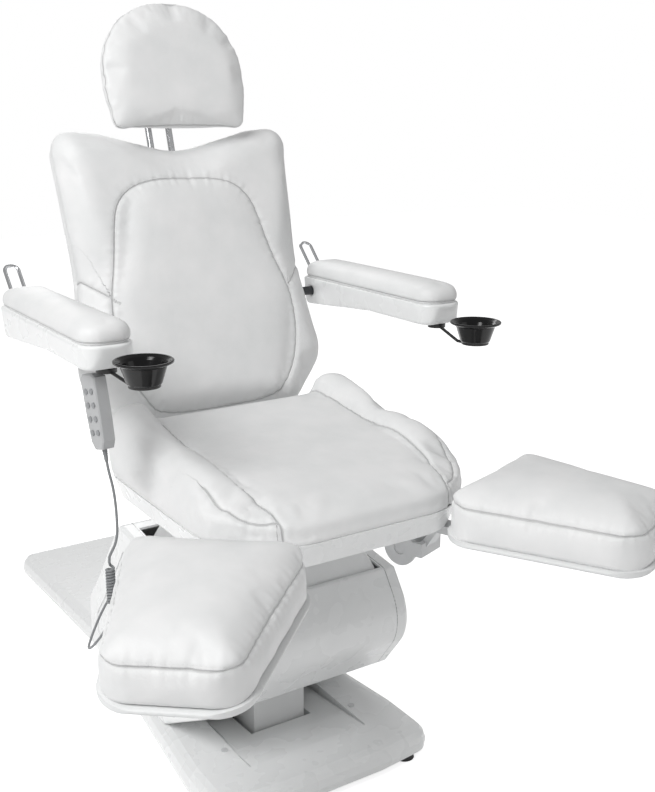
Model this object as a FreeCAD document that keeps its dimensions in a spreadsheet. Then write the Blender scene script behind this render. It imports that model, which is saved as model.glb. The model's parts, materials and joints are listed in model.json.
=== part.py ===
import FreeCAD, Part
import math
import os
import re
import Sketcher

# Podiatry chair: a long floor base with a lift housing, a tilting seat, a reclining
# backrest with headrest, two folding armrests with bowl holders, two swinging leg
# rests and a wired handset. Millimetres and degrees. The front of the chair is -Y.

VECTOR = FreeCAD.Vector
X_AXIS = VECTOR(1, 0, 0)
Y_AXIS = VECTOR(0, 1, 0)
Z_AXIS = VECTOR(0, 0, 1)
NO_TURN = FreeCAD.Rotation()

# Sizes: name, value. The column axis stands at (column_x, column_y) in the part's frame.
SIZES = [
    # Where the column stands from the middle of the chair's footprint
    ("column_x", 76),
    ("column_y", -171),
    # General clearances
    ("seat_gap", 0.3),
    ("slide_gap", 0.5),
    ("pin_play", 0.06),
    ("overrun", 20),
    # Floor base cover
    ("base_front", 265),
    ("base_front_bow", 16),
    ("base_half_front", 249),
    ("base_half_waist", 186),
    ("base_half_rear", 205),
    ("base_waist_y", 520),
    ("base_rear", 1095),
    ("base_corner", 45),
    ("base_floor_gap", 15),
    ("base_height", 58),
    ("base_rim_round", 26),
    ("base_wall", 4),
    ("ramp_half", 137),
    ("ramp_front", 165),
    ("ramp_deep_y", 60),
    ("ramp_depth", 22),
    ("ramp_groove", 4),
    ("screw_x", 129),
    ("screw_y", 148),
    ("screw_radius", 7),
    ("screw_height", 1.5),
    ("foot_radius", 21),
    ("foot_top_radius", 17),
    ("foot_front_x", 190),
    ("foot_front_y", 229),
    ("foot_rear_x", 165),
    ("foot_rear_y", 985),
    ("foot_height", 18),
    # Steel floor frame inside the base cover
    ("rail_width", 36),
    ("rail_height", 9),
    ("rail_x", 120),
    ("frame_gap", 0.3),
    # Lift housing
    ("housing_half", 190),
    ("housing_wall", 5),
    ("housing_foot_front", 130),
    ("housing_lip_height", 168),
    ("housing_bulge_front", 197),
    ("housing_bulge_height", 290),
    ("housing_top_front", 150),
    ("housing_top_height", 391),
    ("housing_back_top_y", 255),
    ("housing_back_top_height", 440),
    ("housing_slope_y", 408),
    ("housing_slope_height", 252),
    ("housing_tail_y", 470),
    ("housing_tail_height", 184),
    ("housing_under_y", 60),
    ("cap_width", 28),
    ("cap_round", 8),
    ("cap_groove_in", 52),
    ("cap_groove_width", 6),
    ("cap_groove_deep", 2),
    ("socket_y", 88),
    ("socket_height", 376),
    ("socket_size", 26),
    # Lift column
    ("column_width", 120),
    ("column_depth", 90),
    ("column_wall", 7),
    ("sleeve_top", 330),
    ("mast_bottom", 110),
    ("mast_wall", 6),
    ("head_height", 515),
    ("head_thick", 8),
    ("head_width", 252),
    ("head_depth", 256),
    ("head_y", 36),
    ("motor_radius", 32),
    ("motor_length", 150),
    ("motor_y", 120),
    ("motor_base", 40),
    # Lift cover, the tapered boot above the housing
    ("boot_half", 183),
    ("boot_front", 140),
    ("boot_rear", 214),
    ("boot_bottom", 200),
    ("boot_shoulder", 388),
    ("boot_top_half", 128),
    ("boot_top_front", 92),
    ("boot_top_rear", 165),
    ("boot_round", 22),
    ("boot_wall", 4),
    # Tilt bracket on the head plate
    ("lug_x", 84),
    ("lug_thick", 10),
    ("lug_width", 70),
    ("tilt_y", 110),
    ("tilt_height", 541),
    ("tilt_pin_radius", 8),
    ("lug_round", 18),
]
SIZES += [
    # Seat: shell tray, steel frame and cushion
    ("seat_half", 276),
    ("seat_front", 385),
    ("seat_rear", 160),
    ("seat_bottom", 555),
    ("seat_split", 600),
    ("seat_corner", 95),
    ("seat_rear_corner", 60),
    ("seat_draft", 16),
    ("shell_wall", 4),
    ("shell_floor_height", 559),
    ("shell_opening_half", 122),
    ("shell_opening_front", 120),
    ("shell_opening_rear", 150),
    ("frame_tube", 25),
    ("frame_half", 190),
    ("frame_front", 300),
    ("cushion_out", 11),
    ("cushion_front_top", 652),
    ("cushion_rear_top", 706),
    ("bolster_inner", 196),
    ("bolster_front", 345),
    ("bolster_front_top", 650),
    ("bolster_rear_top", 744),
    ("seat_channel", 7),
    # Backrest, measured up its own slope from the lower edge
    ("back_hinge_y", 200),
    ("back_hinge_height", 622),
    ("back_lean", 16.4),
    ("back_foot_y", 171),
    ("back_foot_height", 652),
    ("back_long", 645),
    ("back_saddle", 598),
    ("back_bottom_half", 200),
    ("back_hip_half", 300),
    ("back_hip_up", 112),
    ("back_waist_half", 268),
    ("back_waist_up", 335),
    ("back_shoulder_half", 284),
    ("back_lobe_half", 180),
    ("back_thick", 84),
    ("back_shell_thick", 36),
    ("panel_rise", 9),
    ("panel_foot_half", 148),
    ("panel_low_half", 184),
    ("panel_wide_half", 210),
    ("panel_top_half", 132),
    ("panel_long", 528),
    ("panel_foot_up", 38),
    ("channel_deep", 7),
    ("back_rail_x", 150),
    ("back_tube", 25),
    ("ear_thick", 8),
    ("hinge_pin_radius", 9),
    ("hinge_x", 168),
    ("back_ear_x", 156),
    ("ear_round", 16),
    # Headrest
    ("rod_x", 24),
    ("rod_radius", 7),
    ("rod_low_up", 330),
    ("rod_high_up", 745),
    ("clamp_half", 42),
    ("clamp_tall", 26),
    ("clamp_thick", 24),
    ("head_y_foot", 316),
    ("head_foot_height", 1248),
    ("head_lean", 12),
    ("head_long", 275),
    ("head_foot_half", 155),
    ("head_wide_half", 170),
    ("head_thick_pad", 46),
    ("head_plate_thick", 6),
    ("head_plate_half", 90),
    ("head_plate_long", 150),
    # Armrests
    ("arm_x", 355),
    ("arm_half", 50),
    ("arm_foot_half", 44),
    ("arm_front", 125),
    ("arm_rear", 358),
    ("arm_under_front", 872),
    ("arm_under_rear", 826),
    ("arm_split", 915),
    ("arm_pad_top", 955),
    ("arm_hinge_y", 318),
    ("arm_hinge_height", 885),
    ("arm_pin_radius", 10),
    ("arm_pin_reach", 34),
    ("loop_wire", 4),
    ("loop_half", 14),
    ("loop_foot_y", 344),
    ("loop_top_y", 424),
    ("loop_top_height", 981),
    ("loop_foot_height", 900),
    # Bowl holders and bowls
    ("disc_y", 92),
    ("disc_radius", 18),
    ("disc_thick", 8),
    ("disc_pin_radius", 5),
    ("disc_pin_long", 16),
    ("bowl_rod_radius", 3),
    ("bowl_reach", 102),
    ("carrier_radius", 27),
    ("carrier_thick", 4),
    ("carrier_drop_left", 4),
    ("carrier_drop_right", 15),
    ("bowl_rim_radius", 50),
    ("bowl_body_radius", 39),
    ("bowl_base_radius", 27),
    ("bowl_tall", 41),
    ("bowl_wall", 2.5),
    ("bowl_rim_thick", 5),
    ("bowl_left_turn", -75),
    ("bowl_right_turn", -80),
]
SIZES += [
    # Leg rests: swing pin, pitch hub, arm, slide rail, board and cushion
    ("leg_pin_x", 140),
    ("leg_pin_y", 185),
    ("leg_pin_radius", 12),
    ("leg_pin_top", 558),
    ("swing_plate", 10),
    ("hub_ahead", 80),
    ("hub_height", 492),
    ("hub_radius", 34),
    ("hub_half", 34),
    ("hub_cheek", 8),
    ("leg_swing_left", 39),
    ("leg_swing_right", 20),
    ("leg_pitch_left", 5.5),
    ("leg_pitch_right", 0),
    ("leg_arm_width", 34),
    ("leg_arm_thick", 16),
    ("leg_arm_reach", 325),
    ("leg_rail_width", 48),
    ("leg_rail_thick", 22),
    ("leg_rail_start", 147),
    ("leg_rail_end", 437),
    ("board_start", 140),
    ("board_long", 352),
    ("board_near_width", 330),
    ("board_far_width", 207),
    ("board_thick", 10),
    ("board_round", 34),
    ("board_up", 91),
    ("leg_pad_in", 4),
    ("leg_pad_wall", 57),
    ("leg_pad_crown", 40),
    ("leg_travel", 110),
    # Handset and its hook
    ("hook_thick", 3),
    ("hook_width", 16),
    ("handset_wide", 46),
    ("handset_tall", 132),
    ("handset_deep", 24),
    ("handset_round", 7),
    ("handset_x", 370),
    ("handset_y", 62),
    ("handset_top", 857),
    ("handset_turn", 80),
    ("handset_lean", 12),
    ("button_radius", 5),
    ("button_proud", 1.6),
    ("button_step_x", 18),
    ("button_step_up", 24),
    ("button_first_down", 30),
    ("button_play", 0.2),
    ("button_depth", 5),
    # Handset cord
    ("cord_radius", 2.6),
    ("curl_wire", 2.2),
    ("curl_radius", 6.5),
    ("curl_count", 12),
    ("curl_pitch", 5.6),
    ("plug_radius", 6),
    ("plug_long", 26),
    ("relief_long", 18),
    ("socket_deep", 14),
    ("box_wide", 110),
    ("box_long", 50),
    ("box_tall", 30),
]

doc = FreeCAD.newDocument("PodiatryChair")
sheet = doc.addObject("Spreadsheet::Sheet", "Sizes")
for row, (alias, amount) in enumerate(SIZES, start=1):
    sheet.set(f"A{row}", alias)
    sheet.set(f"B{row}", str(amount))
    sheet.setAlias(f"B{row}", alias)
doc.recompute()


class Named:
    """The sheet's values as plain numbers, by name."""


size = Named()
for alias, amount in SIZES:
    setattr(size, alias, float(sheet.get(alias)))

ALIASES = {alias for alias, amount in SIZES}
parts = []


def from_sheet(text):
    return re.sub(r"[a-z][a-z_]*", lambda m: f"Sizes.{m.group(0)}" if m.group(0) in ALIASES else m.group(0),
                  text)


def bind(thing, **texts):
    for name, text in texts.items():
        path = {"x": "Placement.Base.x", "y": "Placement.Base.y", "z": "Placement.Base.z"}.get(name, name)
        thing.setExpression(path, from_sheet(text))
    return thing


def box(name, x, y, z, wide, deep, tall):
    """A bound box: its middle in x and y, its underside, and its three sizes."""
    thing = doc.addObject("Part::Box", name)
    bind(thing, Length=wide, Width=deep, Height=tall)
    return bind(thing, x=f"({x}) - ({wide}) / 2", y=f"({y}) - ({deep}) / 2", z=z)


def rod(name, x, y, z, radius, long, axis=Z_AXIS):
    """A bound cylinder that starts at a point and runs along an axis."""
    thing = doc.addObject("Part::Cylinder", name)
    thing.Placement = FreeCAD.Placement(VECTOR(), FreeCAD.Rotation(Z_AXIS, axis))
    bind(thing, Radius=radius, Height=long)
    return bind(thing, x=x, y=y, z=z)


def fuse(name, *things):
    whole = doc.addObject("Part::MultiFuse", name)
    whole.Shapes = list(things)
    return whole


def cut(name, base, tool):
    left = doc.addObject("Part::Cut", name)
    left.Base = base
    left.Tool = tool
    return left


def feature(name, shape, spot=FreeCAD.Placement()):
    thing = doc.addObject("Part::Feature", name)
    thing.Shape = shape
    thing.Placement = spot
    return thing


def node(thing, label):
    """Names a finished piece and stands it at the column."""
    thing.Label = label
    spot = thing.Placement
    thing.Placement = FreeCAD.Placement(spot.Base + VECTOR(size.column_x, size.column_y, 0), spot.Rotation)
    parts.append(thing)
    return thing


def body(name, spot=FreeCAD.Placement()):
    made = doc.addObject("PartDesign::Body", name)
    made.Placement = spot
    return made


def sketch(owner, name, role):
    drawn = owner.newObject("Sketcher::SketchObject", name)
    plane = [one for one in owner.Origin.OriginFeatures if one.Role == role][0]
    drawn.AttachmentSupport = [(plane, "")]
    drawn.MapMode = "FlatFace"
    return drawn


def draw(drawn, points):
    """A closed outline of straight lines on a sketch."""
    for here, there in zip(points, points[1:] + points[:1]):
        drawn.addGeometry(Part.LineSegment(VECTOR(*here, 0), VECTOR(*there, 0)), False)


def pad(owner, drawn, name, long, middle=True):
    made = owner.newObject("PartDesign::Pad", name)
    made.Profile = drawn
    made.setExpression("Length", from_sheet(long))
    made.Midplane = middle
    drawn.Visibility = False
    return made

LEAST_ROUND_SHARE = 0.2


def offset_corners(corners, inset):
    """Corners (x, y, radius) of a closed outline, moved inwards; counterclockwise."""
    count = len(corners)
    lines = []
    for here, there in zip(corners, corners[1:] + corners[:1]):
        run = VECTOR(there[0] - here[0], there[1] - here[1], 0)
        run.normalize()
        inward = VECTOR(-run.y, run.x, 0)
        lines.append((VECTOR(here[0], here[1], 0) + inward * inset, run))
    moved = []
    for index in range(count):
        start, run = lines[index - 1]
        other, way = lines[index]
        cross = run.x * way.y - run.y * way.x
        gap = other - start
        along = (gap.x * way.y - gap.y * way.x) / cross
        point = start + run * along
        radius = corners[index][2] - inset if cross > 0 else corners[index][2] + inset
        moved.append((point.x, point.y, max(radius, corners[index][2] * LEAST_ROUND_SHARE)))
    return moved


def rounded(corners, lift):
    """A wire of lines and arcs through rounded corners; lift(x, y) gives each point's place."""
    count = len(corners)
    spots = []
    for index in range(count):
        x, y, radius = corners[index]
        here = VECTOR(x, y, 0)
        back = VECTOR(*corners[index - 1][:2], 0) - here
        ahead = VECTOR(*corners[(index + 1) % count][:2], 0) - here
        half = back.getAngle(ahead) / 2
        back.normalize()
        ahead.normalize()
        reach = radius / math.tan(half)
        middle = back + ahead
        middle.normalize()
        depth = radius / math.sin(half) - radius
        spots.append((here + back * reach, here + middle * depth, here + ahead * reach))
    edges = []
    for index in range(count):
        start, middle, end = [lift(p.x, p.y) for p in spots[index]]
        edges.append(Part.Arc(start, middle, end).toShape())
        following = spots[(index + 1) % count][0]
        edges.append(Part.LineSegment(end, lift(following.x, following.y)).toShape())
    return Part.Wire(edges)


def level(height):
    return lambda x, y: VECTOR(x, y, height)


def skin(wires):
    return Part.makeLoft(wires, True, True)


def stack(corners, steps):
    """A solid through level outlines: steps of (height, inset)."""
    return skin([rounded(offset_corners(corners, inset), level(height)) for height, inset in steps])


def mirrored(half_points):
    """A whole outline from its right half, listed upwards, symmetric about x = 0."""
    return half_points + [(-x, y, radius) for x, y, radius in reversed(half_points)]


def slab(x_low, y_low, z_low, x_high, y_high, z_high):
    return Part.makeBox(x_high - x_low, y_high - y_low, z_high - z_low, VECTOR(x_low, y_low, z_low))


def turned(origin, axis, angle):
    return FreeCAD.Placement(origin, FreeCAD.Rotation(axis, angle))

# Floor base: cover with a sunk ramp, steel frame, feet and screw caps
frame_top = size.foot_height + size.rail_height
base_outline = mirrored([
    (size.base_half_front * 0.45, -size.base_front, size.base_corner * 3),
    (size.base_half_front, size.base_front_bow - size.base_front, size.base_corner),
    (size.base_half_front, -size.base_front * 0.42, size.base_waist_y * 0.4),
    (size.base_half_waist, size.base_waist_y, size.base_waist_y),
    (size.base_half_rear, size.base_rear, size.base_corner),
])
rim_shares = [(0, 0.08), (0.35, 0), (0.7, 0.19), (0.91, 0.5), (1, 1)]
rise = size.base_height - size.base_floor_gap
cover = stack(base_outline, [
    (size.base_floor_gap + rise * up, size.base_rim_round * inset) for up, inset in rim_shares
])
hollow = stack(base_outline, [
    (size.base_floor_gap - size.overrun, size.base_wall * 2),
    (frame_top + size.frame_gap, size.base_wall * 2),
])
ramp_floor = size.base_height - size.ramp_depth
plate = size.base_wall
ramp_points = [
    VECTOR(0, -size.ramp_front, size.base_height),
    VECTOR(0, size.ramp_deep_y, ramp_floor),
    VECTOR(0, size.housing_slope_y, ramp_floor),
    VECTOR(0, size.housing_slope_y, size.base_height + size.overrun),
    VECTOR(0, -size.ramp_front, size.base_height + size.overrun),
]
channel = Part.Face(Part.makePolygon(ramp_points + ramp_points[:1]))
channel.translate(X_AXIS * -size.ramp_half)
channel = channel.extrude(X_AXIS * size.ramp_half * 2)
side_slots = []
for side in (-1, 1):
    slot = Part.Face(Part.makePolygon(ramp_points + ramp_points[:1]))
    slot.translate(VECTOR(side * (size.ramp_half - size.ramp_groove / 2) - size.ramp_groove / 2, 0, -plate))
    side_slots.append(slot.extrude(X_AXIS * size.ramp_groove))
shaft = slab(
    -size.column_width * 0.6, -size.column_depth * 0.6, 0,
    size.column_width * 0.6, size.motor_y + size.motor_radius + plate, size.sleeve_top,
)
cover = cover.cut(hollow).cut(channel.fuse(side_slots)).cut(shaft)
node(feature("base_cover", cover), "base_cover")

insert_points = [
    VECTOR(0, -size.ramp_front * 0.55, size.base_height),
    VECTOR(0, size.ramp_deep_y, ramp_floor),
    VECTOR(0, size.housing_slope_y, ramp_floor),
    VECTOR(0, size.housing_slope_y, ramp_floor + plate),
    VECTOR(0, size.ramp_deep_y, ramp_floor + plate),
]
slope = (insert_points[1].z - size.base_height) / (size.ramp_deep_y + size.ramp_front)
insert_points[0].z = size.base_height + slope * (insert_points[0].y + size.ramp_front)
insert = Part.Face(Part.makePolygon(insert_points + insert_points[:1]))
insert_half = size.ramp_half - size.ramp_groove * 3
insert.translate(X_AXIS * -insert_half)
insert = insert.extrude(X_AXIS * insert_half * 2).cut(shaft)
node(feature("base_insert", insert), "base_insert")

rail_long = "base_rear + base_front - base_rim_round * 3"
rail_middle = "(base_rear - base_front) / 2"
rails = [
    box("rail_left", "-rail_x", rail_middle, "foot_height", "rail_width", rail_long, "rail_height"),
    box("rail_right", "rail_x", rail_middle, "foot_height", "rail_width", rail_long, "rail_height"),
    box("cross_front", "0", "-foot_front_y + rail_width / 9", "foot_height", "foot_front_x * 2 + rail_width",
        "rail_width", "rail_height"),
    box("cross_rear", "0", "foot_rear_y", "foot_height", "foot_rear_x * 2 + rail_width",
        "rail_width", "rail_height"),
    box("column_plate", "0", "motor_y / 2", "foot_height", "rail_x * 2",
        "column_depth + motor_y * 1.2", "rail_height"),
]
node(fuse("floor_frame", *rails), "base_frame")

feet = []
for label, x, y in (
    ("front_left", "-foot_front_x", "-foot_front_y"), ("front_right", "foot_front_x", "-foot_front_y"),
    ("rear_left", "-foot_rear_x", "foot_rear_y"), ("rear_right", "foot_rear_x", "foot_rear_y"),
):
    foot = doc.addObject("Part::Cone", "foot_" + label)
    bind(foot, Radius1="foot_radius", Radius2="foot_top_radius", Height="foot_height", x=x, y=y)
    feet.append(foot)
node(fuse("feet", *feet), "base_feet")

caps = []
for side in ("-", ""):
    caps.append(rod("screw_cap" + side.replace("-", "_left"), side + "screw_x * 1.18", "-screw_y * 0.6",
                    "base_height", "screw_radius", "screw_height"))
node(fuse("screw_caps", *caps), "cover_screws")

# Lift housing: a middle shell with a bulged front and two end caps
housing_outline = [
    (-size.housing_foot_front, size.housing_lip_height, size.housing_wall * 2),
    (size.housing_under_y, size.base_height, size.housing_wall * 2),
    (size.housing_tail_y, size.base_height, size.housing_wall * 1.5),
    (size.housing_tail_y, size.housing_tail_height, size.housing_tail_height * 0.3),
    (size.housing_slope_y, size.housing_slope_height, size.housing_tail_height * 0.4),
    (size.housing_back_top_y, size.housing_back_top_height, size.housing_tail_height * 0.2),
    (-size.housing_top_front, size.housing_top_height, size.housing_wall * 1.5),
    (-size.housing_bulge_front * 1.127, size.housing_bulge_height, size.housing_bulge_front * 0.5),
]


def across(x):
    return lambda y, z: VECTOR(x, y, z)


def housing_prism(inset, x_from, x_to):
    wire = rounded(offset_corners(housing_outline, inset), across(x_from))
    return Part.Face(wire).extrude(X_AXIS * (x_to - x_from))


boot_play = size.slide_gap * 6
boot_room = slab(
    -size.boot_half - boot_play, -size.boot_front - boot_play, size.housing_bulge_height,
    size.boot_half + boot_play, size.boot_rear + boot_play, size.head_height,
)
shell = housing_prism(0, -size.housing_half, size.housing_half)
shell = shell.cut(housing_prism(size.housing_wall, -size.housing_half * 2, size.housing_half * 2))
shell = shell.cut(boot_room).cut(shaft)
node(feature("housing_shell", shell), "housing_shell")

cap_out = size.housing_half + size.cap_width
cap_steps = [
    (size.housing_half, 0), (cap_out - size.cap_round, 0),
    (cap_out - size.cap_round * 0.25, size.cap_round * 0.35), (cap_out, size.cap_round),
]
cap = skin([rounded(offset_corners(housing_outline, inset), across(x)) for x, inset in cap_steps])
cap = cap.cut(housing_prism(size.housing_wall, size.housing_half - size.overrun, cap_out - size.housing_wall))
groove = housing_prism(size.cap_groove_in, cap_out - size.cap_groove_deep, cap_out + size.overrun)
groove = groove.cut(housing_prism(
    size.cap_groove_in + size.cap_groove_width, cap_out - size.overrun, cap_out + size.overrun * 2))
cap = cap.cut(groove)
node(feature("housing_cap_right", cap), "housing_cap_right")
node(feature("housing_cap_left", cap.mirror(VECTOR(), X_AXIS)), "housing_cap_left")

# Lift column: fixed sleeve and motor, sliding mast with its head plate, tapered cover
sleeve_outer = box("sleeve_outer", "0", "0", "foot_height + rail_height", "column_width", "column_depth",
                   "sleeve_top - foot_height - rail_height")
sleeve_inner = box("sleeve_inner", "0", "0", "foot_height + rail_height", "column_width - column_wall * 2",
                   "column_depth - column_wall * 2", "sleeve_top")
node(cut("sleeve", sleeve_outer, sleeve_inner), "lift_sleeve")

motor = rod("motor_can", "0", "motor_y", "foot_height + rail_height", "motor_radius", "motor_length")
gearbox = box("gearbox", "0", "(column_depth / 2 + motor_y) / 2", "foot_height + rail_height",
              "motor_radius * 2", "motor_y - column_depth / 2", "motor_base")
node(fuse("motor", motor, gearbox), "lift_motor")

mast_wide = "column_width - column_wall * 2 - slide_gap * 2"
mast_deep = "column_depth - column_wall * 2 - slide_gap * 2"
mast_outer = box("mast_outer", "0", "0", "mast_bottom", mast_wide, mast_deep, "head_height - mast_bottom")
mast_inner = box("mast_inner", "0", "0", "mast_bottom", f"{mast_wide} - mast_wall * 2",
                 f"{mast_deep} - mast_wall * 2", "head_height - mast_bottom - mast_wall")
head_plate = box("head_plate", "0", "head_y", "head_height", "head_width", "head_depth", "head_thick")
node(fuse("mast", cut("mast_tube", mast_outer, mast_inner), head_plate), "lift_mast")


def boot_ring(half, front, rear, height, inset):
    corners = [(half, -front, size.boot_round), (half, rear, size.boot_round)]
    return rounded(offset_corners(mirrored(corners), inset), level(height))


def boot_skin(inset, low, high):
    wide = (size.boot_half, size.boot_front, size.boot_rear)
    narrow = (size.boot_top_half, size.boot_top_front, size.boot_top_rear)
    rings = [boot_ring(*wide, low, inset), boot_ring(*wide, size.boot_shoulder, inset)]
    rings.append(boot_ring(*narrow, size.head_height, inset))
    if high > size.head_height:
        rings.append(boot_ring(*narrow, high, inset))
    return skin(rings)


boot = boot_skin(0, size.boot_bottom, size.head_height)
boot = boot.cut(boot_skin(size.boot_wall, size.boot_bottom - size.overrun, size.head_height + size.overrun))
node(feature("lift_cover", boot), "lift_cover")

bracket = body("tilt_bracket")
profile = sketch(bracket, "lug_profile", "YZ_Plane")
low = size.head_height + size.head_thick
draw(profile, [
    (size.tilt_y - size.lug_width / 2, low), (size.tilt_y + size.lug_width / 2, low),
    (size.tilt_y + size.lug_round, size.tilt_height + size.lug_round * 0.4),
    (size.tilt_y + size.lug_round * 0.6, size.tilt_height + size.lug_round * 0.8),
    (size.tilt_y - size.lug_round * 0.6, size.tilt_height + size.lug_round * 0.8),
    (size.tilt_y - size.lug_round, size.tilt_height + size.lug_round * 0.4),
])
pad(bracket, profile, "lug_block", "lug_x * 2 + lug_thick")
middle = sketch(bracket, "lug_middle", "YZ_Plane")
high = size.tilt_height + size.lug_round * 2
draw(middle, [
    (size.tilt_y - size.lug_width, low + size.head_thick),
    (size.tilt_y + size.lug_width, low + size.head_thick),
    (size.tilt_y + size.lug_width, high), (size.tilt_y - size.lug_width, high),
])
gap = bracket.newObject("PartDesign::Pocket", "lug_gap")
gap.Profile = middle
gap.setExpression("Length", from_sheet("lug_x * 2 - lug_thick"))
gap.Midplane = True
eye = sketch(bracket, "lug_eye", "YZ_Plane")
eye.addGeometry(Part.Circle(VECTOR(size.tilt_y, size.tilt_height, 0), Z_AXIS,
                            size.tilt_pin_radius + size.pin_play), False)
bore = bracket.newObject("PartDesign::Pocket", "lug_bore")
bore.Profile = eye
bore.setExpression("Length", from_sheet("lug_x * 2 + lug_thick + overrun"))
bore.Midplane = True
node(bracket, "tilt_bracket")


def prism(points, x_from, x_to):
    """A plate from an outline of (y, z) points, between two x planes."""
    corners = [VECTOR(x_from, y, z) for y, z in points]
    return Part.Face(Part.makePolygon(corners + corners[:1])).extrude(X_AXIS * (x_to - x_from))


def pin_bore(y, z, radius, x_from, x_to):
    return Part.makeCylinder(radius, x_to - x_from, VECTOR(x_from, y, z), X_AXIS)


def tilted(front_height, rear_height):
    run = size.seat_front + size.seat_rear
    grade = (rear_height - front_height) / run
    return lambda x, y: VECTOR(x, y, front_height + grade * (y + size.seat_front))


# Seat: a tray shell, a steel frame on the tilt pin, and a cushion with two side bolsters
seat_outline = mirrored([
    (size.seat_half * 0.6, -size.seat_front, size.seat_corner * 1.5),
    (size.seat_half, -size.seat_front + size.seat_corner, size.seat_corner * 1.2),
    (size.seat_half, size.seat_rear, size.seat_rear_corner),
])
tray = stack(seat_outline, [(size.seat_bottom, size.seat_draft), (size.seat_split, 0)])
tray = tray.cut(stack(seat_outline, [
    (size.shell_floor_height, size.seat_draft + size.shell_wall),
    (size.seat_split, size.shell_wall),
    (size.seat_split + size.overrun, size.shell_wall),
]))
tray = tray.cut(slab(
    -size.shell_opening_half, -size.shell_opening_front, size.seat_bottom - size.overrun,
    size.shell_opening_half, size.shell_opening_rear, size.seat_split,
))
ear_inside = size.back_ear_x - size.ear_thick
ear_outside = size.hinge_x + size.ear_thick
for side in (-1, 1):
    low_x, high_x = sorted((side * ear_inside, side * ear_outside))
    tray = tray.cut(slab(
        low_x, size.seat_rear - size.seat_draft * 2, size.shell_floor_height,
        high_x, size.seat_rear + size.overrun, size.seat_split + size.overrun,
    ))
    tray = tray.cut(Part.makeCylinder(
        size.leg_pin_radius + size.slide_gap, size.overrun * 2,
        VECTOR(side * size.leg_pin_x, -size.leg_pin_y, size.seat_bottom - size.overrun),
    ))
node(feature("seat_shell", tray), "seat_shell")

rail_base = "shell_floor_height + seat_gap * 5"
rail_run = "frame_front + seat_rear - seat_draft - shell_wall - seat_gap"
side_y = f"({rail_run}) / 2 - frame_front"
pieces = [
    box("seat_rail_left", "-frame_half", side_y, rail_base, "frame_tube", rail_run, "frame_tube"),
    box("seat_rail_right", "frame_half", side_y, rail_base, "frame_tube", rail_run, "frame_tube"),
    box("seat_cross_front", "0", "-frame_front + frame_tube / 2", rail_base, "frame_half * 2",
        "frame_tube", "frame_tube"),
    box("seat_cross_legs", "0", "-leg_pin_y", rail_base, "frame_half * 2", "frame_tube * 2", "frame_tube"),
    box("seat_cross_tilt", "0", "tilt_y", rail_base, "frame_half * 2", "frame_tube * 1.6", "frame_tube"),
    rod("tilt_pin", "-lug_x - lug_thick * 1.6 - slide_gap", "tilt_y", "tilt_height", "tilt_pin_radius",
        "(lug_x + lug_thick * 1.6 + slide_gap) * 2", X_AXIS),
]
for side in (-1, 1):
    tag = "left" if side < 0 else "right"
    pieces.append(rod("leg_pin_" + tag, f"{side} * leg_pin_x", "-leg_pin_y",
                      "leg_pin_top - leg_pin_radius * 3.4", "leg_pin_radius", "leg_pin_radius * 4"))
    inner = side * (size.lug_x + size.lug_thick / 2 + size.slide_gap)
    outer = side * (size.lug_x + size.lug_thick * 1.5 + size.slide_gap)
    frame_low = size.shell_floor_height + size.seat_gap * 5
    ear = prism([
        (size.tilt_y - size.lug_round, size.tilt_height - size.lug_round * 0.4),
        (size.tilt_y - size.lug_round * 0.4, size.tilt_height - size.lug_round * 0.8),
        (size.tilt_y + size.lug_round * 0.4, size.tilt_height - size.lug_round * 0.8),
        (size.tilt_y + size.lug_round, size.tilt_height - size.lug_round * 0.4),
        (size.tilt_y + size.lug_round, frame_low + size.frame_tube / 2),
        (size.tilt_y - size.lug_round, frame_low + size.frame_tube / 2),
    ], inner, outer)
    pieces.append(feature("tilt_ear_" + tag, ear))
    bar = size.frame_tube
    back_end = size.seat_rear - size.seat_draft - size.shell_wall
    rear_low = size.seat_bottom + size.ear_round * 1.3
    hinge_ear = prism([
        (size.tilt_y, frame_low), (back_end, frame_low), (back_end + bar, rear_low),
        (size.back_hinge_y + size.ear_round * 0.5, size.back_hinge_height - size.ear_round * 0.9),
        (size.back_hinge_y + size.ear_round, size.back_hinge_height - size.ear_round * 0.3),
        (size.back_hinge_y + size.ear_round, size.back_hinge_height + size.ear_round * 0.4),
        (size.back_hinge_y + size.ear_round * 0.4, size.back_hinge_height + size.ear_round),
        (size.back_hinge_y - size.ear_round * 0.4, size.back_hinge_height + size.ear_round),
        (size.back_hinge_y - size.ear_round, size.back_hinge_height + size.ear_round * 0.4),
        (size.seat_rear + size.ear_round * 0.4, size.seat_split),
        (size.tilt_y, size.seat_split),
    ], side * size.hinge_x - size.ear_thick / 2, side * size.hinge_x + size.ear_thick / 2)
    hinge_ear = hinge_ear.cut(pin_bore(
        size.back_hinge_y, size.back_hinge_height, size.hinge_pin_radius + size.pin_play,
        side * size.hinge_x - size.ear_thick, side * size.hinge_x + size.ear_thick))
    pieces.append(feature("hinge_ear_" + tag, hinge_ear))
node(fuse("seat_steel", *pieces), "seat_frame")

cushion_low = size.seat_split + size.seat_gap
fat = size.cushion_out
sides = [(corner[0], corner[1], corner[2]) for corner in seat_outline]
rings = [
    rounded(offset_corners(sides, fat * 0.6), level(cushion_low)),
    rounded(offset_corners(sides, -fat * 0.7), level(cushion_low + fat)),
]
deep_front = size.cushion_front_top - cushion_low
deep_rear = size.cushion_rear_top - cushion_low
for up_share, inset_share in ((0.5, -1), (0.78, -0.6), (0.93, 1), (0.99, 4), (1.04, 9)):
    rings.append(rounded(
        offset_corners(sides, fat * inset_share),
        tilted(cushion_low + deep_front * up_share, cushion_low + deep_rear * up_share)))
cushion = skin(rings)

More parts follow.
